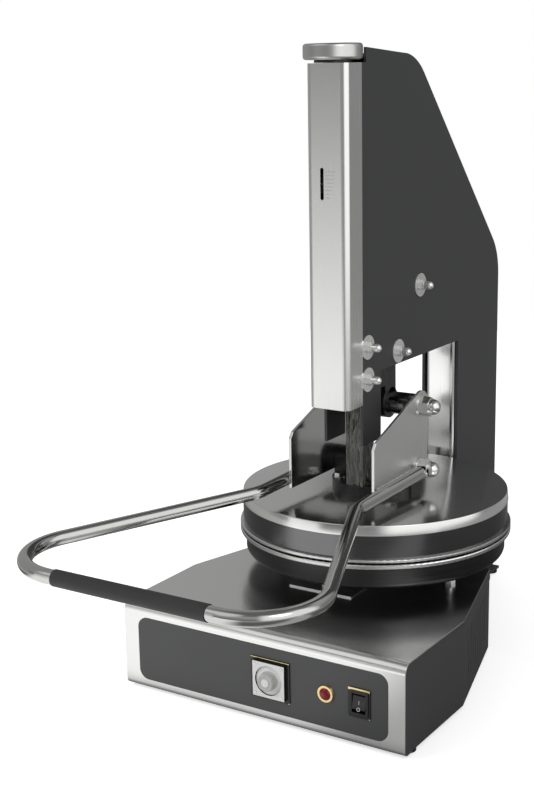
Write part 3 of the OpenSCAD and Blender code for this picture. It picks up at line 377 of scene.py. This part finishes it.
bracketSteel = makeFinish("bracketSteel", {
    "grain": "coat", "colour": (0.3, 0.3, 0.3), "metal": 1.0, "rough": (0.3, 0.5),
    "tone": (0.85, 1.05), "pattern": {"Grain": 420.0}, "bump": 0.1})

shaftSteel = makeFinish("shaftSteel", {
    "grain": "coat", "colour": (0.42, 0.42, 0.42), "metal": 1.0, "rough": (0.12, 0.26),
    "tone": (0.75, 1.0), "pattern": {"Grain": 300.0, "Mottle": 70.0}, "bump": 0.05})

giltMetal = makeFinish("giltMetal", {
    "grain": "coat", "colour": (0.86, 0.68, 0.36), "metal": 1.0, "rough": (0.18, 0.3),
    "tone": (0.9, 1.05), "pattern": {"Grain": 900.0}, "bump": 0.03, "edge": 0.0004})

heaterMetal = makeFinish("heaterMetal", {
    "grain": "coat", "colour": (0.25, 0.24, 0.23), "metal": 1.0, "rough": (0.4, 0.6),
    "tone": (0.8, 1.05), "pattern": {"Grain": 300.0}, "bump": 0.1})
print("metal finishes made")


# Painted, black and plastic finishes

columnPaint = makeFinish("columnPaint", {
    "grain": "coat", "colour": (0.041, 0.042, 0.044), "rough": (0.46, 0.56), "tone": (0.92, 1.08),
    "pattern": {"Grain": 1300.0, "Mottle": 6.0}, "bump": 0.12, "depth": 0.00008,
    "wear": (0.11, 0.11, 0.11)})

# Side panels' black paint, lighter than the column's: partly their own paint, partly the painted sheen
# they catch
basePaintSheen = makeFinish("basePaintSheen", {
    "grain": "coat", "colour": (0.055, 0.056, 0.058), "rough": (0.42, 0.52), "tone": (0.92, 1.08),
    "pattern": {"Grain": 1300.0, "Mottle": 6.0}, "bump": 0.12, "depth": 0.00008,
    "wear": (0.13, 0.13, 0.13)})

panelPaint = makeFinish("panelPaint", {
    "grain": "coat", "colour": (0.046, 0.047, 0.048), "rough": (0.34, 0.44), "tone": (0.94, 1.06),
    "pattern": {"Grain": 1600.0, "Mottle": 9.0}, "bump": 0.05, "depth": 0.00005,
    "wear": (0.1, 0.1, 0.1), "shader": {"Specular IOR Level": 0.6}})

bandPaint = makeFinish("bandPaint", {
    "grain": "turned", "colour": (0.17, 0.17, 0.17), "metal": 1.0, "rough": (0.14, 0.2),
    "tone": (0.9, 1.05), "pattern": {"Centre": platenAxis, "Rings": 900.0}, "bump": 0.03,
    "wear": (0.3, 0.3, 0.3)})

panPaint = makeFinish("panPaint", {
    "grain": "turned", "colour": (0.058, 0.058, 0.059), "metal": 1.0, "rough": (0.26, 0.36),
    "tone": (0.85, 1.1), "pattern": {"Centre": platenAxis, "Rings": 800.0}, "bump": 0.05,
    "wear": (0.1, 0.1, 0.1)})

blackSteel = makeFinish("blackSteel", {
    "grain": "coat", "colour": (0.008, 0.008, 0.008), "rough": (0.22, 0.42), "tone": (0.7, 1.3),
    "pattern": {"Grain": 260.0, "Mottle": 45.0}, "bump": 0.18, "depth": 0.0003,
    "wear": (0.09, 0.09, 0.09)})

# Guide bar: grease streaks whose wide tone range also paints bright glints, so partly grease and partly
# painted highlight
greaseAndGlintBar = makeFinish("greaseAndGlintBar", {
    "grain": "brushed", "colour": (0.2, 0.2, 0.19), "metal": 1.0, "rough": (0.08, 0.24),
    "tone": (0.35, 1.5), "pattern": {"Stretch": (260, 260, 45)}, "bump": 1.0, "depth": 0.006,
    "wear": (0.3, 0.3, 0.3)})

blackPlastic = makeFinish("blackPlastic", {
    "grain": "coat", "colour": (0.006, 0.006, 0.006), "rough": (0.2, 0.3), "tone": (0.9, 1.1),
    "pattern": {"Grain": 1500.0}, "bump": 0.05, "depth": 0.00005, "wear": (0.02, 0.02, 0.02)})

gripRubber = makeFinish("gripRubber", {
    "grain": "coat", "colour": (0.03, 0.03, 0.031), "rough": (0.5, 0.7), "tone": (0.8, 1.2),
    "pattern": {"Grain": 1100.0, "Mottle": 40.0}, "bump": 0.4, "depth": 0.0002,
    "wear": (0.06, 0.06, 0.06)})

footRubber = makeFinish("footRubber", {
    "grain": "coat", "colour": (0.012, 0.012, 0.012), "rough": (0.6, 0.8), "tone": (0.8, 1.2),
    "pattern": {"Grain": 800.0}, "bump": 0.3})

whitePlastic = makeFinish("whitePlastic", {
    "grain": "coat", "colour": (0.86, 0.86, 0.85), "rough": (0.14, 0.26), "tone": (0.96, 1.02),
    "pattern": {"Grain": 1200.0}, "bump": 0.03, "edge": 0.0004, "wear": (0.85, 0.85, 0.84)})

dialGrey = makeFinish("dialGrey", {
    "grain": "coat", "colour": (0.55, 0.55, 0.54), "rough": (0.16, 0.28), "tone": (0.92, 1.05),
    "pattern": {"Grain": 900.0}, "bump": 0.03, "edge": 0.0003, "wear": (0.85, 0.85, 0.84)})

etchedGrey = makeFinish("etchedGrey", {
    "grain": "coat", "colour": (0.4, 0.4, 0.4), "rough": (0.5, 0.6), "tone": (0.9, 1.1),
    "bump": 0.02, "edge": 0.00005})

scaleInk = makeFinish("scaleInk", {
    "grain": "coat", "colour": (0.3, 0.3, 0.3), "rough": (0.4, 0.5), "tone": (0.9, 1.1),
    "bump": 0.02, "edge": 0.00005})

whiteInk = makeFinish("whiteInk", {
    "grain": "coat", "colour": (0.52, 0.52, 0.52), "rough": (0.3, 0.4), "tone": (0.95, 1.02),
    "bump": 0.02, "edge": 0.00005})

redLens = makeFinish("redLens", {
    "grain": "coat", "colour": (0.22, 0.002, 0.005), "rough": (0.06, 0.12), "tone": (0.85, 1.1),
    "pattern": {"Grain": 300.0, "Mottle": 120.0}, "bump": 0.03, "wear": (0.4, 0.02, 0.02),
    "shader": {"Coat Weight": 0.3, "Coat Roughness": 0.05, "Specular IOR Level": 0.35}})
print("painted and plastic finishes made")


# Finishes on the CAD nodes

finishOf = {
    frontSteel: ["base_shell", "support_plate"],
    coverSteel: ["front_cover"],
    channelSteel: ["rear_channel"],
    lidSteel: ["upper_lid"],
    plateMetal: ["upper_plate", "lower_plate"],
    knobSteel: ["adjusting_knob"],
    leverSteel: ["lever_plate_right"],
    polishedLeverShade: ["lever_plate_left"],
    tubeSteel: ["handle_tube"],
    fastenerSteel: ["boss_bolts", "lever_pins", "guide_bolts", "tie_bolt", "tie_tube", "toggle_pin",
                    "pin_spacers", "pan_supports", "adjusting_spindle", "knee_shaft", "lever_nuts",
                    "knee_nuts"],
    zincSteel: ["column_washers", "column_nuts"],
    shaftSteel: ["knee_spacers"],
    bracketSteel: ["top_bracket", "lower_bracket", "stop_catch", "bottom_plate"],
    giltMetal: ["lamp_bezel"],
    heaterMetal: ["lower_heater", "upper_heater"],
    columnPaint: ["column_plate_left", "column_plate_right", "back_cover", "ground_plate"],
    basePaintSheen: ["side_panel_left", "side_panel_right", "rear_panel"],
    panelPaint: ["control_panel"],
    bandPaint: ["upper_band"],
    panPaint: ["lower_pan"],
    blackSteel: ["press_boss", "toggle_link", "guide_block", "stop_nut"],
    greaseAndGlintBar: ["guide_bar"],
    blackPlastic: ["switch_frame", "switch_rocker", "cable_gland", "controller_housing"],
    whitePlastic: ["controller_dial"],
    redLens: ["lamp_lens"],
    gripRubber: ["handle_grip"],
    footRubber: ["feet"],
}


def dressNodes(table):
    bare = set(nodes)
    for material, names in table.items():
        for name in names:
            for slot in nodes[name].material_slots:
                slot.material = material
            bare.discard(name)
    print("nodes dressed, left bare:", sorted(bare))


dressNodes(finishOf)


# Mesh helpers

mergeDist = 1e-7


def cleanMesh(bm):
    bmesh.ops.remove_doubles(bm, verts=bm.verts, dist=mergeDist)
    bmesh.ops.recalc_face_normals(bm, faces=bm.faces)


def finishPiece(name, bm, material, body, smooth=35):
    cleanMesh(bm)
    mesh = bpy.data.meshes.new(name)
    bm.to_mesh(mesh)
    bm.free()
    mesh.shade_smooth()
    mesh.set_sharp_from_angle(angle=math.radians(smooth))
    mesh.materials.append(material)
    piece = bpy.data.objects.new(name, mesh)
    scene.collection.objects.link(piece)
    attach(piece, body)
    return piece


def bevelEdges(bm, edges, width, segments):
    bmesh.ops.bevel(bm, geom=edges, offset=width, segments=segments, profile=0.5, affect="EDGES",
                    material=-1)


def addBlock(bm, size, place, turn=Matrix()):
    made = bmesh.ops.create_cube(bm, size=1.0)["verts"]
    shape = Matrix.Diagonal((*size, 1))
    bmesh.ops.transform(bm, verts=made, matrix=Matrix.Translation(place) @ turn @ shape)


# A revolved shape: a profile of (along, radius) points, spun round an axis through place
def addTurned(bm, profile, place, axis, steps):
    along = Vector(axis).normalized()
    side = along.orthogonal().normalized()
    verts = [bm.verts.new(Vector(place) + along * a + side * r) for a, r in profile]
    edges = [bm.edges.new(pair) for pair in zip(verts, verts[1:])]
    bmesh.ops.spin(bm, geom=verts + edges, cent=place, axis=along, angle=math.tau, steps=steps,
                   use_merge=True)


def ringProfile(low, high, inner, outer):
    return [(low, inner), (low, outer), (high, outer), (high, inner), (low, inner)]


def inMetres(profile):
    return [(a * mm, r * mm) for a, r in profile]


def middle(node):
    low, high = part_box(node)
    return (low + high) / 2


# World, floor and lamps

lightSet = {
    "level": 0.52,                     # light on matte surfaces from the room
    "room": (0.25, 0.45),              # what metal sees: level with it, and high up
    "roomTop": 0.6,
    "ceiling": 0.18,
    "ceilingFrom": (0.7, 0.82),
    # sides of the room as metal shows them: direction, where each ends, brightness
    "sides": [((0.985, -0.174, 0), (0.62, 0.82), 1.2),      # window on the right
              ((-0.94, 0.342, 0), (0.745, 0.785), 0.36),    # wall behind on the left
              ((-0.208, 0.978, 0), (0.93, 0.97), 0.07)],    # dark doorway behind
    "sideTop": (0.95, 0.75),
    "softbox": ((-0.4, -0.55, 0.73), (0.88, 0.96), 0.85),   # high in front
    "floorColour": 0.80,
    "floorGlow": 0.62,
    # The floor as metal shows it is painted: painted shade, darkest near the object, and painted pools of
    # light in the bright patches below
    "floorDark": 0.2,                  # the floor as metal shows it, near and far
    "floorFar": 0.5,
    "farFrom": (0.8, 1.2),
    "floorShine": 0.5,                 # its bright patches: wide at the base's front, narrow further out
    "nearFront": (-0.19, -0.25),
    "nearEnd": (-0.52, -0.42),
    "nearLeft": (-0.6, -0.45),
    "nearRight": (0.02, 0.15),
    "nearFade": 0.36,
    "shineAim": (-0.342, -0.94, 0),
    "shineEdge": (0.82, 0.95),
    "shineFront": (-0.25, -0.40),
    "floorSize": 2.6,
    "floorSides": 96,
}

# Pale card in front on the left, which only metal shows
cardSet = {
    "middle": (-0.8, -1.2),
    "width": 1.1,
    "height": 0.85,
    "fadeSide": 0.18,
    "bright": (1.1, 0.26),             # low down and at the top
    "brightFrom": 0.1,                 # height where it begins to fall
}

lampSet = {
    "key": {"place": (-1.5, -1.9, 1.7), "size": 1.4, "power": 26.0, "target": (0, 0, 0.3),
            "inMetal": False},
    "fill": {"place": (1.9, -1.1, 1.9), "size": 1.2, "power": 7.0, "target": (0, 0, 0.4),
             "inMetal": True},
    "back": {"place": (-0.6, 2.2, 1.9), "size": 1.4, "power": 9.0, "target": (0, 0, 0.4),
             "inMetal": False},
}


# 1 where a direction points towards aim, 0 well away from it
def towards(tree, vector, aim, edge):
    unit = addNode(tree, "ShaderNodeVectorMath", operation="NORMALIZE")
    join(tree, vector, unit.inputs[0])
    dot = addNode(tree, "ShaderNodeVectorMath", operation="DOT_PRODUCT")
    join(tree, unit.outputs[0], dot.inputs[0])
    dot.inputs[1].default_value = Vector(aim).normalized()
    return fade(tree, dot.outputs["Value"], edge)


# 1 for the rays that show the background itself: the camera's, and those through glass
def clearRays(tree, path):
    return mathNode(tree, "MAXIMUM", path.outputs["Is Camera Ray"], path.outputs["Is Transmission Ray"])


def makeWorld(s):
    world = bpy.data.worlds.new("studio")
    world.use_nodes = True
    tree = world.node_tree
    tree.nodes.clear()
    path = addNode(tree, "ShaderNodeLightPath")
    way = addNode(tree, "ShaderNodeTexCoord").outputs["Generated"]
    height = splitNode(tree, way)[2]
    metal = fade(tree, height, (0.0, s["roomTop"]), *s["room"])
    metal = fade(tree, height, s["ceilingFrom"], metal, s["ceiling"])
    below = fade(tree, height, s["sideTop"])
    around = addNode(tree, "ShaderNodeVectorMath", operation="MULTIPLY")    # level part of a direction
    join(tree, way, around.inputs[0])
    around.inputs[1].default_value = (1, 1, 0)
    for aim, edge, bright in s["sides"]:
        side = mathNode(tree, "MULTIPLY", towards(tree, around.outputs[0], aim, edge), below)
        metal = between(tree, side, metal, bright)
    aim, edge, bright = s["softbox"]
    metal = between(tree, towards(tree, way, aim, edge), metal, bright)
    level = between(tree, path.outputs["Is Glossy Ray"], s["level"], metal)
    background = addNode(tree, "ShaderNodeBackground")
    background.inputs["Color"].default_value = (1, 1, 1, 1)
    join(tree, between(tree, clearRays(tree, path), level, 1.0), background.inputs["Strength"])
    join(tree, background.outputs[0], addNode(tree, "ShaderNodeOutputWorld").inputs["Surface"])
    scene.world = world


def startStage(name):
    material = bpy.data.materials.new(name)
    material.use_nodes = True
    material.node_tree.nodes.clear()
    return material, material.node_tree


def finishStage(name, bm, material):
    mesh = bpy.data.meshes.new(name)
    bm.to_mesh(mesh)
    bm.free()
    mesh.materials.append(material)
    piece = bpy.data.objects.new(name, mesh)
    scene.collection.objects.link(piece)
    return piece


def makeFloor(s):
    material, tree = startStage("paleFloor")
    path = addNode(tree, "ShaderNodeLightPath")
    glossy = path.outputs["Is Glossy Ray"]
    spot = addNode(tree, "ShaderNodeTexCoord").outputs["Object"]
    aside, ahead = splitNode(tree, spot)[:2]
    # For metal the floor carries painted pools of light (shine) and painted shade, darkest near the
    # object (dark)
    far = mathNode(tree, "MULTIPLY", fade(tree, ahead, s["shineFront"]),
                   towards(tree, spot, s["shineAim"], s["shineEdge"]))
    strip = mathNode(tree, "MULTIPLY", fade(tree, ahead, s["nearFront"]), fade(tree, ahead, s["nearEnd"]))
    across = mathNode(tree, "MULTIPLY", fade(tree, aside, s["nearLeft"]),
                      fade(tree, aside, s["nearRight"], 1.0, s["nearFade"]))
    shine = mathNode(tree, "MAXIMUM", mathNode(tree, "MULTIPLY", strip, across), far)
    away = addNode(tree, "ShaderNodeVectorMath", operation="LENGTH")
    join(tree, spot, away.inputs[0])
    dark = fade(tree, away.outputs["Value"], s["farFrom"], s["floorDark"], s["floorFar"])
    seen = between(tree, shine, dark, s["floorColour"])
    matte = addNode(tree, "ShaderNodeBsdfDiffuse")
    join(tree, between(tree, glossy, s["floorColour"], seen), matte.inputs["Color"])
    inMetal = mathNode(tree, "MULTIPLY", glossy, mathNode(tree, "MULTIPLY", shine, s["floorShine"]))
    shown = mathNode(tree, "MULTIPLY", clearRays(tree, path), s["floorGlow"])
    glow = addNode(tree, "ShaderNodeEmission")
    join(tree, mathNode(tree, "ADD", shown, inMetal), glow.inputs["Strength"])
    both = addNode(tree, "ShaderNodeAddShader")
    join(tree, matte.outputs[0], both.inputs[0])
    join(tree, glow.outputs[0], both.inputs[1])
    join(tree, both.outputs[0], addNode(tree, "ShaderNodeOutputMaterial").inputs["Surface"])
    bm = bmesh.new()
    bmesh.ops.create_circle(bm, cap_ends=True, segments=s["floorSides"], radius=s["floorSize"])
    floor = finishStage("floor", bm, material)


def makeCard(s):
    material, tree = startStage("paleCard")
    spot = splitNode(tree, addNode(tree, "ShaderNodeTexCoord").outputs["Object"])
    aside = mathNode(tree, "ABSOLUTE", mathNode(tree, "SUBTRACT", spot[0], s["middle"][0]))
    half = s["width"] / 2
    solid = fade(tree, aside, (half - s["fadeSide"], half), 1.0, 0.0)
    glow = addNode(tree, "ShaderNodeEmission")
    bright = rangeNode(tree, spot[2], *s["bright"], s["brightFrom"], s["height"])
    join(tree, bright, glow.inputs["Strength"])
    mixed = addNode(tree, "ShaderNodeMixShader")
    join(tree, solid, mixed.inputs[0])
    join(tree, addNode(tree, "ShaderNodeBsdfTransparent").outputs[0], mixed.inputs[1])
    join(tree, glow.outputs[0], mixed.inputs[2])
    join(tree, mixed.outputs[0], addNode(tree, "ShaderNodeOutputMaterial").inputs["Surface"])
    bm = bmesh.new()
    bmesh.ops.create_grid(bm, x_segments=1, y_segments=1, size=0.5)
    size = Matrix.Diagonal((s["width"], s["height"], 1, 1))
    turn = Matrix.Rotation(math.radians(90), 4, "X")
    place = Matrix.Translation((*s["middle"], s["height"] / 2))
    bmesh.ops.transform(bm, verts=bm.verts, matrix=place @ turn @ size)
    card = finishStage("card", bm, material)
    for kind in ("camera", "diffuse", "transmission", "shadow", "volume_scatter"):
        setattr(card, "visible_" + kind, False)


def addLamp(name, s):
    data = bpy.data.lights.new(name, "AREA")
    data.shape = "DISK"
    data.size = s["size"]
    data.energy = s["power"]
    lamp = bpy.data.objects.new(name, data)
    lamp.visible_glossy = s["inMetal"]
    aim = Vector(s["target"]) - Vector(s["place"])
    lamp.matrix_world = Matrix.Translation(s["place"]) @ aim.to_track_quat("-Z", "Y").to_matrix().to_4x4()
    scene.collection.objects.link(lamp)


makeWorld(lightSet)
makeFloor(lightSet)
makeCard(cardSet)
for lampName, lampValues in lampSet.items():
    addLamp(lampName, lampValues)
scene.view_settings.view_transform = "Standard"
print("world, floor and lamps set")


# Lid: a spun disc with a tight edge and a wall that leans in a little

lidSet = {
    "edge": 1.1 * mm,
    "edgeSteps": 4,
    "lean": 1.4 * mm,
    "thick": 2.0 * mm,
    "hole": 44.2 * mm,
    "steps": 160,
    "near": 1e-6,                # points this close to the top edge are on it
}


def makeLid(s):
    low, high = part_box("upper_lid")
    centre = Vector(((low.x + high.x) / 2, (low.y + high.y) / 2, low.z))
    radius = (high.x - low.x) / 2
    tall = high.z - low.z
    under = tall - s["thick"]
    top = radius - s["lean"]
    outline = [(under, s["hole"]), (tall, s["hole"]), (tall, top), (0, radius), (0, radius - s["thick"]),
               (under, top - s["thick"]), (under, s["hole"])]
    bm = bmesh.new()
    addTurned(bm, outline, centre, (0, 0, 1), s["steps"])
    cleanMesh(bm)
    upper = [v for v in bm.verts if v.co.z > high.z - s["near"]]
    rim = {v for v in upper if (v.co - centre).xy.length > top - s["near"]}
    bevelEdges(bm, [e for e in bm.edges if rim.issuperset(e.verts)], s["edge"], s["edgeSteps"])
    lid = finishPiece("spunLid", bm, lidSteel, "platen")
    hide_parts("upper_lid")


makeLid(lidSet)
print("lid made")


# Black ring between the knob and the cover: partly the dark hub's own colour, partly painted shade under
# the knob

collarShadeSet = {
    "radius": 24.0 * mm,
    "inner": 23.0 * mm,
    "clear": 0.5 * mm,           # above the cover
    "high": 3.5 * mm,
    "steps": 64,
}


def makeCollarShade(s):
    knob = middle("adjusting_knob")
    place = (knob.x, knob.y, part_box("front_cover")[1].z + s["clear"])
    bm = bmesh.new()
    addTurned(bm, ringProfile(0, s["high"], s["inner"], s["radius"]), place, (0, 0, 1), s["steps"])
    finishPiece("knobCollarShade", bm, blackSteel, "knob")


makeCollarShade(collarShadeSet)
print("collar made")


# Weld beads where the handle's ends lie along the lever plates

weldSet = {
    "count": 22,
    "radius": 1.9 * mm,
    "long": 1.5,                 # a bead's length and height against its width
    "high": 0.8,
    "vary": 0.18,                # how much the beads differ, and how fast that changes
    "beat": 2.3,
    "sides": (8, 6),
    "smooth": 60,
    "off": 1.4 * mm,             # out from the plate
    "lift": 1.5 * mm,            # up from the tube
    "margin": 7 * mm,
    "tries": 90,                 # lines dropped on the tube to find where it lies along the plate
    "above": 0.1,                # where they start, up from the plate
}


def makeWelds(s):
    down = Vector((0, 0, -1))
    bm = bmesh.new()
    for side in ("left", "right"):
        low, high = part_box("lever_plate_" + side)
        x = high.x + s["off"] if side == "right" else low.x - s["off"]
        hits = []
        for i in range(s["tries"]):
            y = low.y + s["margin"] + (high.y - low.y) * i / s["tries"]
            start = Vector((x, y, high.z + s["above"]))
            hit, spot = nodes["handle_tube"].ray_cast(start, down)[:2]
            if hit and low.z < spot.z < high.z:
                hits.append(spot)
        if len(hits) < 2:
            continue
        first, last = hits[0], hits[-1]
        turn = (last - first).normalized().to_track_quat("X", "Z").to_matrix().to_4x4()
        for i in range(s["count"]):
            spot = first.lerp(last, i / (s["count"] - 1)) + Vector((0, 0, s["lift"]))
            grow = 1 + s["vary"] * math.sin(s["beat"] * i)
            shape = Matrix.Diagonal((s["long"] * grow, 1, s["high"] * grow, 1))
            made = bmesh.ops.create_uvsphere(bm, u_segments=s["sides"][0], v_segments=s["sides"][1],
                                             radius=s["radius"])["verts"]
            bmesh.ops.transform(bm, verts=made, matrix=Matrix.Translation(spot) @ turn @ shape)
    finishPiece("weldBeads", bm, weldSteel, "handle", s["smooth"])


makeWelds(weldSet)
print("welds made")


# Controller: pale face plate, and a dial with a scale disc, a ribbed hub and a cap

controllerSet = {
    "face": 46.6 * mm,
    "hole": 19.56 * mm,
    "holeSides": 64,
    "thick": 0.5 * mm,
    # outlines of the turned pieces: along and radius, in mm
    "screw": [(0.0, 0), (0.0, 1.9), (0.5, 1.8), (0.8, 1.2), (0.9, 0)],
    "screwSides": 20,
    "screwAt": 19.4 * mm,
    "disc": [(0, 0), (0, 19.5), (0.8, 19.5), (1.2, 19.0), (1.2, 0)],
    "discSides": 72,
    "hub": [(1.1, 0), (1.1, 12.6), (3.0, 12.6), (3.4, 11.9), (10.6, 11.4), (11.6, 10.8), (12.0, 10.0),
            (12.0, 9.0), (11.2, 8.4), (11.2, 7.4), (11.8, 7.0), (11.8, 6.4), (11.0, 6.0), (11.0, 0)],
    "hubSides": 72,
    "wallTilt": 0.3,             # the hub's wall: faces this upright and at least this large
    "wallArea": 6 * mm * mm,
    "ribEvery": 3,
    "ribEdge": 0.12 * mm,
    "ribDeep": 0.45 * mm,
    "cap": [(10.9, 0), (10.9, 5.6), (11.5, 5.4), (11.7, 4.6), (11.4, 3.6), (11.4, 2.6), (11.9, 2.0),
            (12.0, 0)],
    "capSides": 10,
    "capSmooth": 20,
    "ticks": 31,
    "longEvery": 5,
    "sweep": 270.0,
    "tickRadius": 18.3 * mm,
    "tickLong": 3.0 * mm,
    "tickShort": 1.8 * mm,
    "tickWide": 0.35 * mm,
    "tickThick": 0.1 * mm,
    "tickOut": 0.03 * mm,        # its middle, out from the disc
    "pointer": (0.9 * mm, 0.3 * mm, 1.9 * mm),
    "pointerAt": 9.6 * mm,
}

outwards = (0, -1, 0)            # out of the control panel


def makeControllerFace(s):
    low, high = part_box("controller_housing")
    centre = Vector(((low.x + high.x) / 2, low.y, middle("controller_dial").z))
    bm = bmesh.new()
    bmesh.ops.create_circle(bm, segments=s["holeSides"], radius=s["hole"])
    made = bmesh.ops.extrude_edge_only(bm, edges=bm.edges[:])["geom"]
    half = s["face"] / 2
    for v in (g for g in made if isinstance(g, bmesh.types.BMVert)):
        v.co *= half / max(abs(v.co.x), abs(v.co.y))      # the outer ring becomes a square
    bmesh.ops.solidify(bm, geom=bm.faces[:], thickness=s["thick"])
    turn = Matrix.Rotation(math.radians(90), 4, "X")
    bmesh.ops.transform(bm, verts=bm.verts, matrix=Matrix.Translation(centre) @ turn)
    drop = low.y - s["thick"] - min(v.co.y for v in bm.verts)
    bmesh.ops.translate(bm, verts=bm.verts, vec=(0, drop, 0))
    finishPiece("controllerFace", bm, whitePlastic, "frame")
    bm = bmesh.new()
    for x in (-s["screwAt"], s["screwAt"]):
        for z in (-s["screwAt"], s["screwAt"]):
            spot = centre + Vector((x, -s["thick"], z))
            addTurned(bm, inMetres(s["screw"]), spot, outwards, s["screwSides"])
    finishPiece("controllerScrews", bm, fastenerSteel, "frame")


def makeDial(s):
    low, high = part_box("controller_dial")
    deep = max(a for a, r in s["hub"]) * mm
    place = Vector(((low.x + high.x) / 2, low.y + deep, (low.z + high.z) / 2))      # back of the disc

    def turnOf(face):
        spot = face.calc_center_median() - place
        return math.atan2(spot.z, spot.x)

    bm = bmesh.new()
    addTurned(bm, inMetres(s["disc"]), place, outwards, s["discSides"])
    disc = finishPiece("dialDisc", bm, whitePlastic, "dial")
    bm = bmesh.new()
    addTurned(bm, inMetres(s["hub"]), place, outwards, s["hubSides"])
    cleanMesh(bm)
    wall = [f for f in bm.faces if abs(f.normal.y) < s["wallTilt"] and f.calc_area() > s["wallArea"]]
    ribs = sorted(wall, key=turnOf)[::s["ribEvery"]]
    bmesh.ops.inset_individual(bm, faces=ribs, thickness=s["ribEdge"], depth=-s["ribDeep"])
    finishPiece("dialHub", bm, dialGrey, "dial")
    bm = bmesh.new()
    addTurned(bm, inMetres(s["cap"]), place, outwards, s["capSides"])
    finishPiece("dialCap", bm, whitePlastic, "dial", s["capSmooth"])
    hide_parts("controller_dial")
    bm = bmesh.new()
    front = Vector((0, s["disc"][-1][0] * mm + s["tickOut"], 0))
    for i in range(s["ticks"]):
        long = s["tickLong"] if i % s["longEvery"] == 0 else s["tickShort"]
        turn = Matrix.Rotation(math.radians(s["sweep"] * (i / (s["ticks"] - 1) - 0.5)), 4, "Y")
        spot = turn @ Vector((0, 0, s["tickRadius"] - long / 2))
        addBlock(bm, (s["tickWide"], s["tickThick"], long), place + spot - front, turn)
    finishPiece("dialScale", bm, scaleInk, "dial")
    bm = bmesh.new()
    addBlock(bm, s["pointer"], place + Vector((0, -deep, s["pointerAt"])))
    finishPiece("dialPointer", bm, scaleInk, "dial")


makeControllerFace(controllerSet)
makeDial(controllerSet)
print("controller dressed")


# Gilt strips along the top edges of the controller's and the switch's flanges, and a gilt square at each
# lower right corner: the frames' gold colour put only where light catches it, so partly painted highlight

trimGlintSet = {
    "controllerHigh": 1.0 * mm,
    "switchHigh": 3.2 * mm,
    "thick": 0.5 * mm,
    "sink": 0.05 * mm,           # into the flange
    "over": 0.1 * mm,            # above the flange's top edge
    "flange": 1.5 * mm,
    "corner": 1.4 * mm,
    "round": 0.15 * mm,
    "roundSteps": 2,
    "sharp": 40,                 # edges that bend more than this are rounded
}


def makeTrimGlints(s):
    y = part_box("control_panel")[0].y - s["flange"] - s["thick"] / 2 + s["sink"]
    corner = s["corner"]
    bm = bmesh.new()
    for node, tall in (("controller_housing", s["controllerHigh"]), ("switch_frame", s["switchHigh"])):
        low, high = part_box(node)
        spot = ((low.x + high.x) / 2, y, high.z - tall / 2 + s["over"])
        addBlock(bm, (high.x - low.x, s["thick"], tall), spot)
        addBlock(bm, (corner, s["thick"], corner), (high.x - corner / 2, y, low.z + corner / 2))
    sharp = [e for e in bm.edges if e.calc_face_angle() > math.radians(s["sharp"])]
    bevelEdges(bm, sharp, s["round"], s["roundSteps"])
    finishPiece("giltTrimGlints", bm, giltMetal, "frame")


makeTrimGlints(trimGlintSet)
print("trims made")


# Bar and ring on the switch

markSet = {
    "barHigh": 1.0 * mm,         # the bar and the ring, up and down from the switch's middle
    "barLong": 4.4 * mm,
    "ringHigh": -7.2 * mm,
    "ringRadius": 2.4 * mm,
    "ringSides": 32,
    "stroke": 0.8 * mm,
    "thick": 0.2 * mm,
}


# Where a line from the front meets a node, with the surface's direction there
def meetFront(node, x, z):
    return nodes[node].ray_cast(Vector((x, -1.0, z)), Vector((0, 1, 0)))[1:3]


def makeMarks(s):
    centre = middle("switch_frame")
    bm = bmesh.new()
    spot, normal = meetFront("switch_rocker", centre.x, centre.z + s["barHigh"])
    turn = normal.to_track_quat("-Y", "Z").to_matrix().to_4x4()
    addBlock(bm, (s["stroke"], s["thick"], s["barLong"]), spot, turn)
    spot, normal = meetFront("switch_rocker", centre.x, centre.z + s["ringHigh"])
    half = s["thick"] / 2
    ring = ringProfile(-half, half, s["ringRadius"] - s["stroke"], s["ringRadius"])
    addTurned(bm, ring, spot, normal, s["ringSides"])
    finishPiece("switchMarks", bm, whiteInk, "rocker")


makeMarks(markSet)
print("switch marked")


# Thickness scale beside the slot in the cover

scaleSet = {
    "count": 8,
    "left": -1.8 * mm,
    "rightTop": 14.3 * mm,
    "rightLow": 5.2 * mm,
    "top": 679.5 * mm,
    "low": 646.5 * mm,
    "line": 0.9 * mm,
    "thick": 0.12 * mm,
    "sink": 0.01 * mm,           # into the cover
}


def makeScale(s):
    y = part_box("front_cover")[0].y - s["thick"] / 2 + s["sink"]
    bm = bmesh.new()
    for i in range(s["count"]):
        t = i / (s["count"] - 1)
        right = s["rightTop"] + (s["rightLow"] - s["rightTop"]) * t
        height = s["top"] + (s["low"] - s["top"]) * t
        spot = ((right + s["left"]) / 2, y, height)
        addBlock(bm, (right - s["left"], s["thick"], s["line"]), spot)
    finishPiece("thicknessScale", bm, etchedGrey, "frame")


makeScale(scaleSet)
print("scale made")
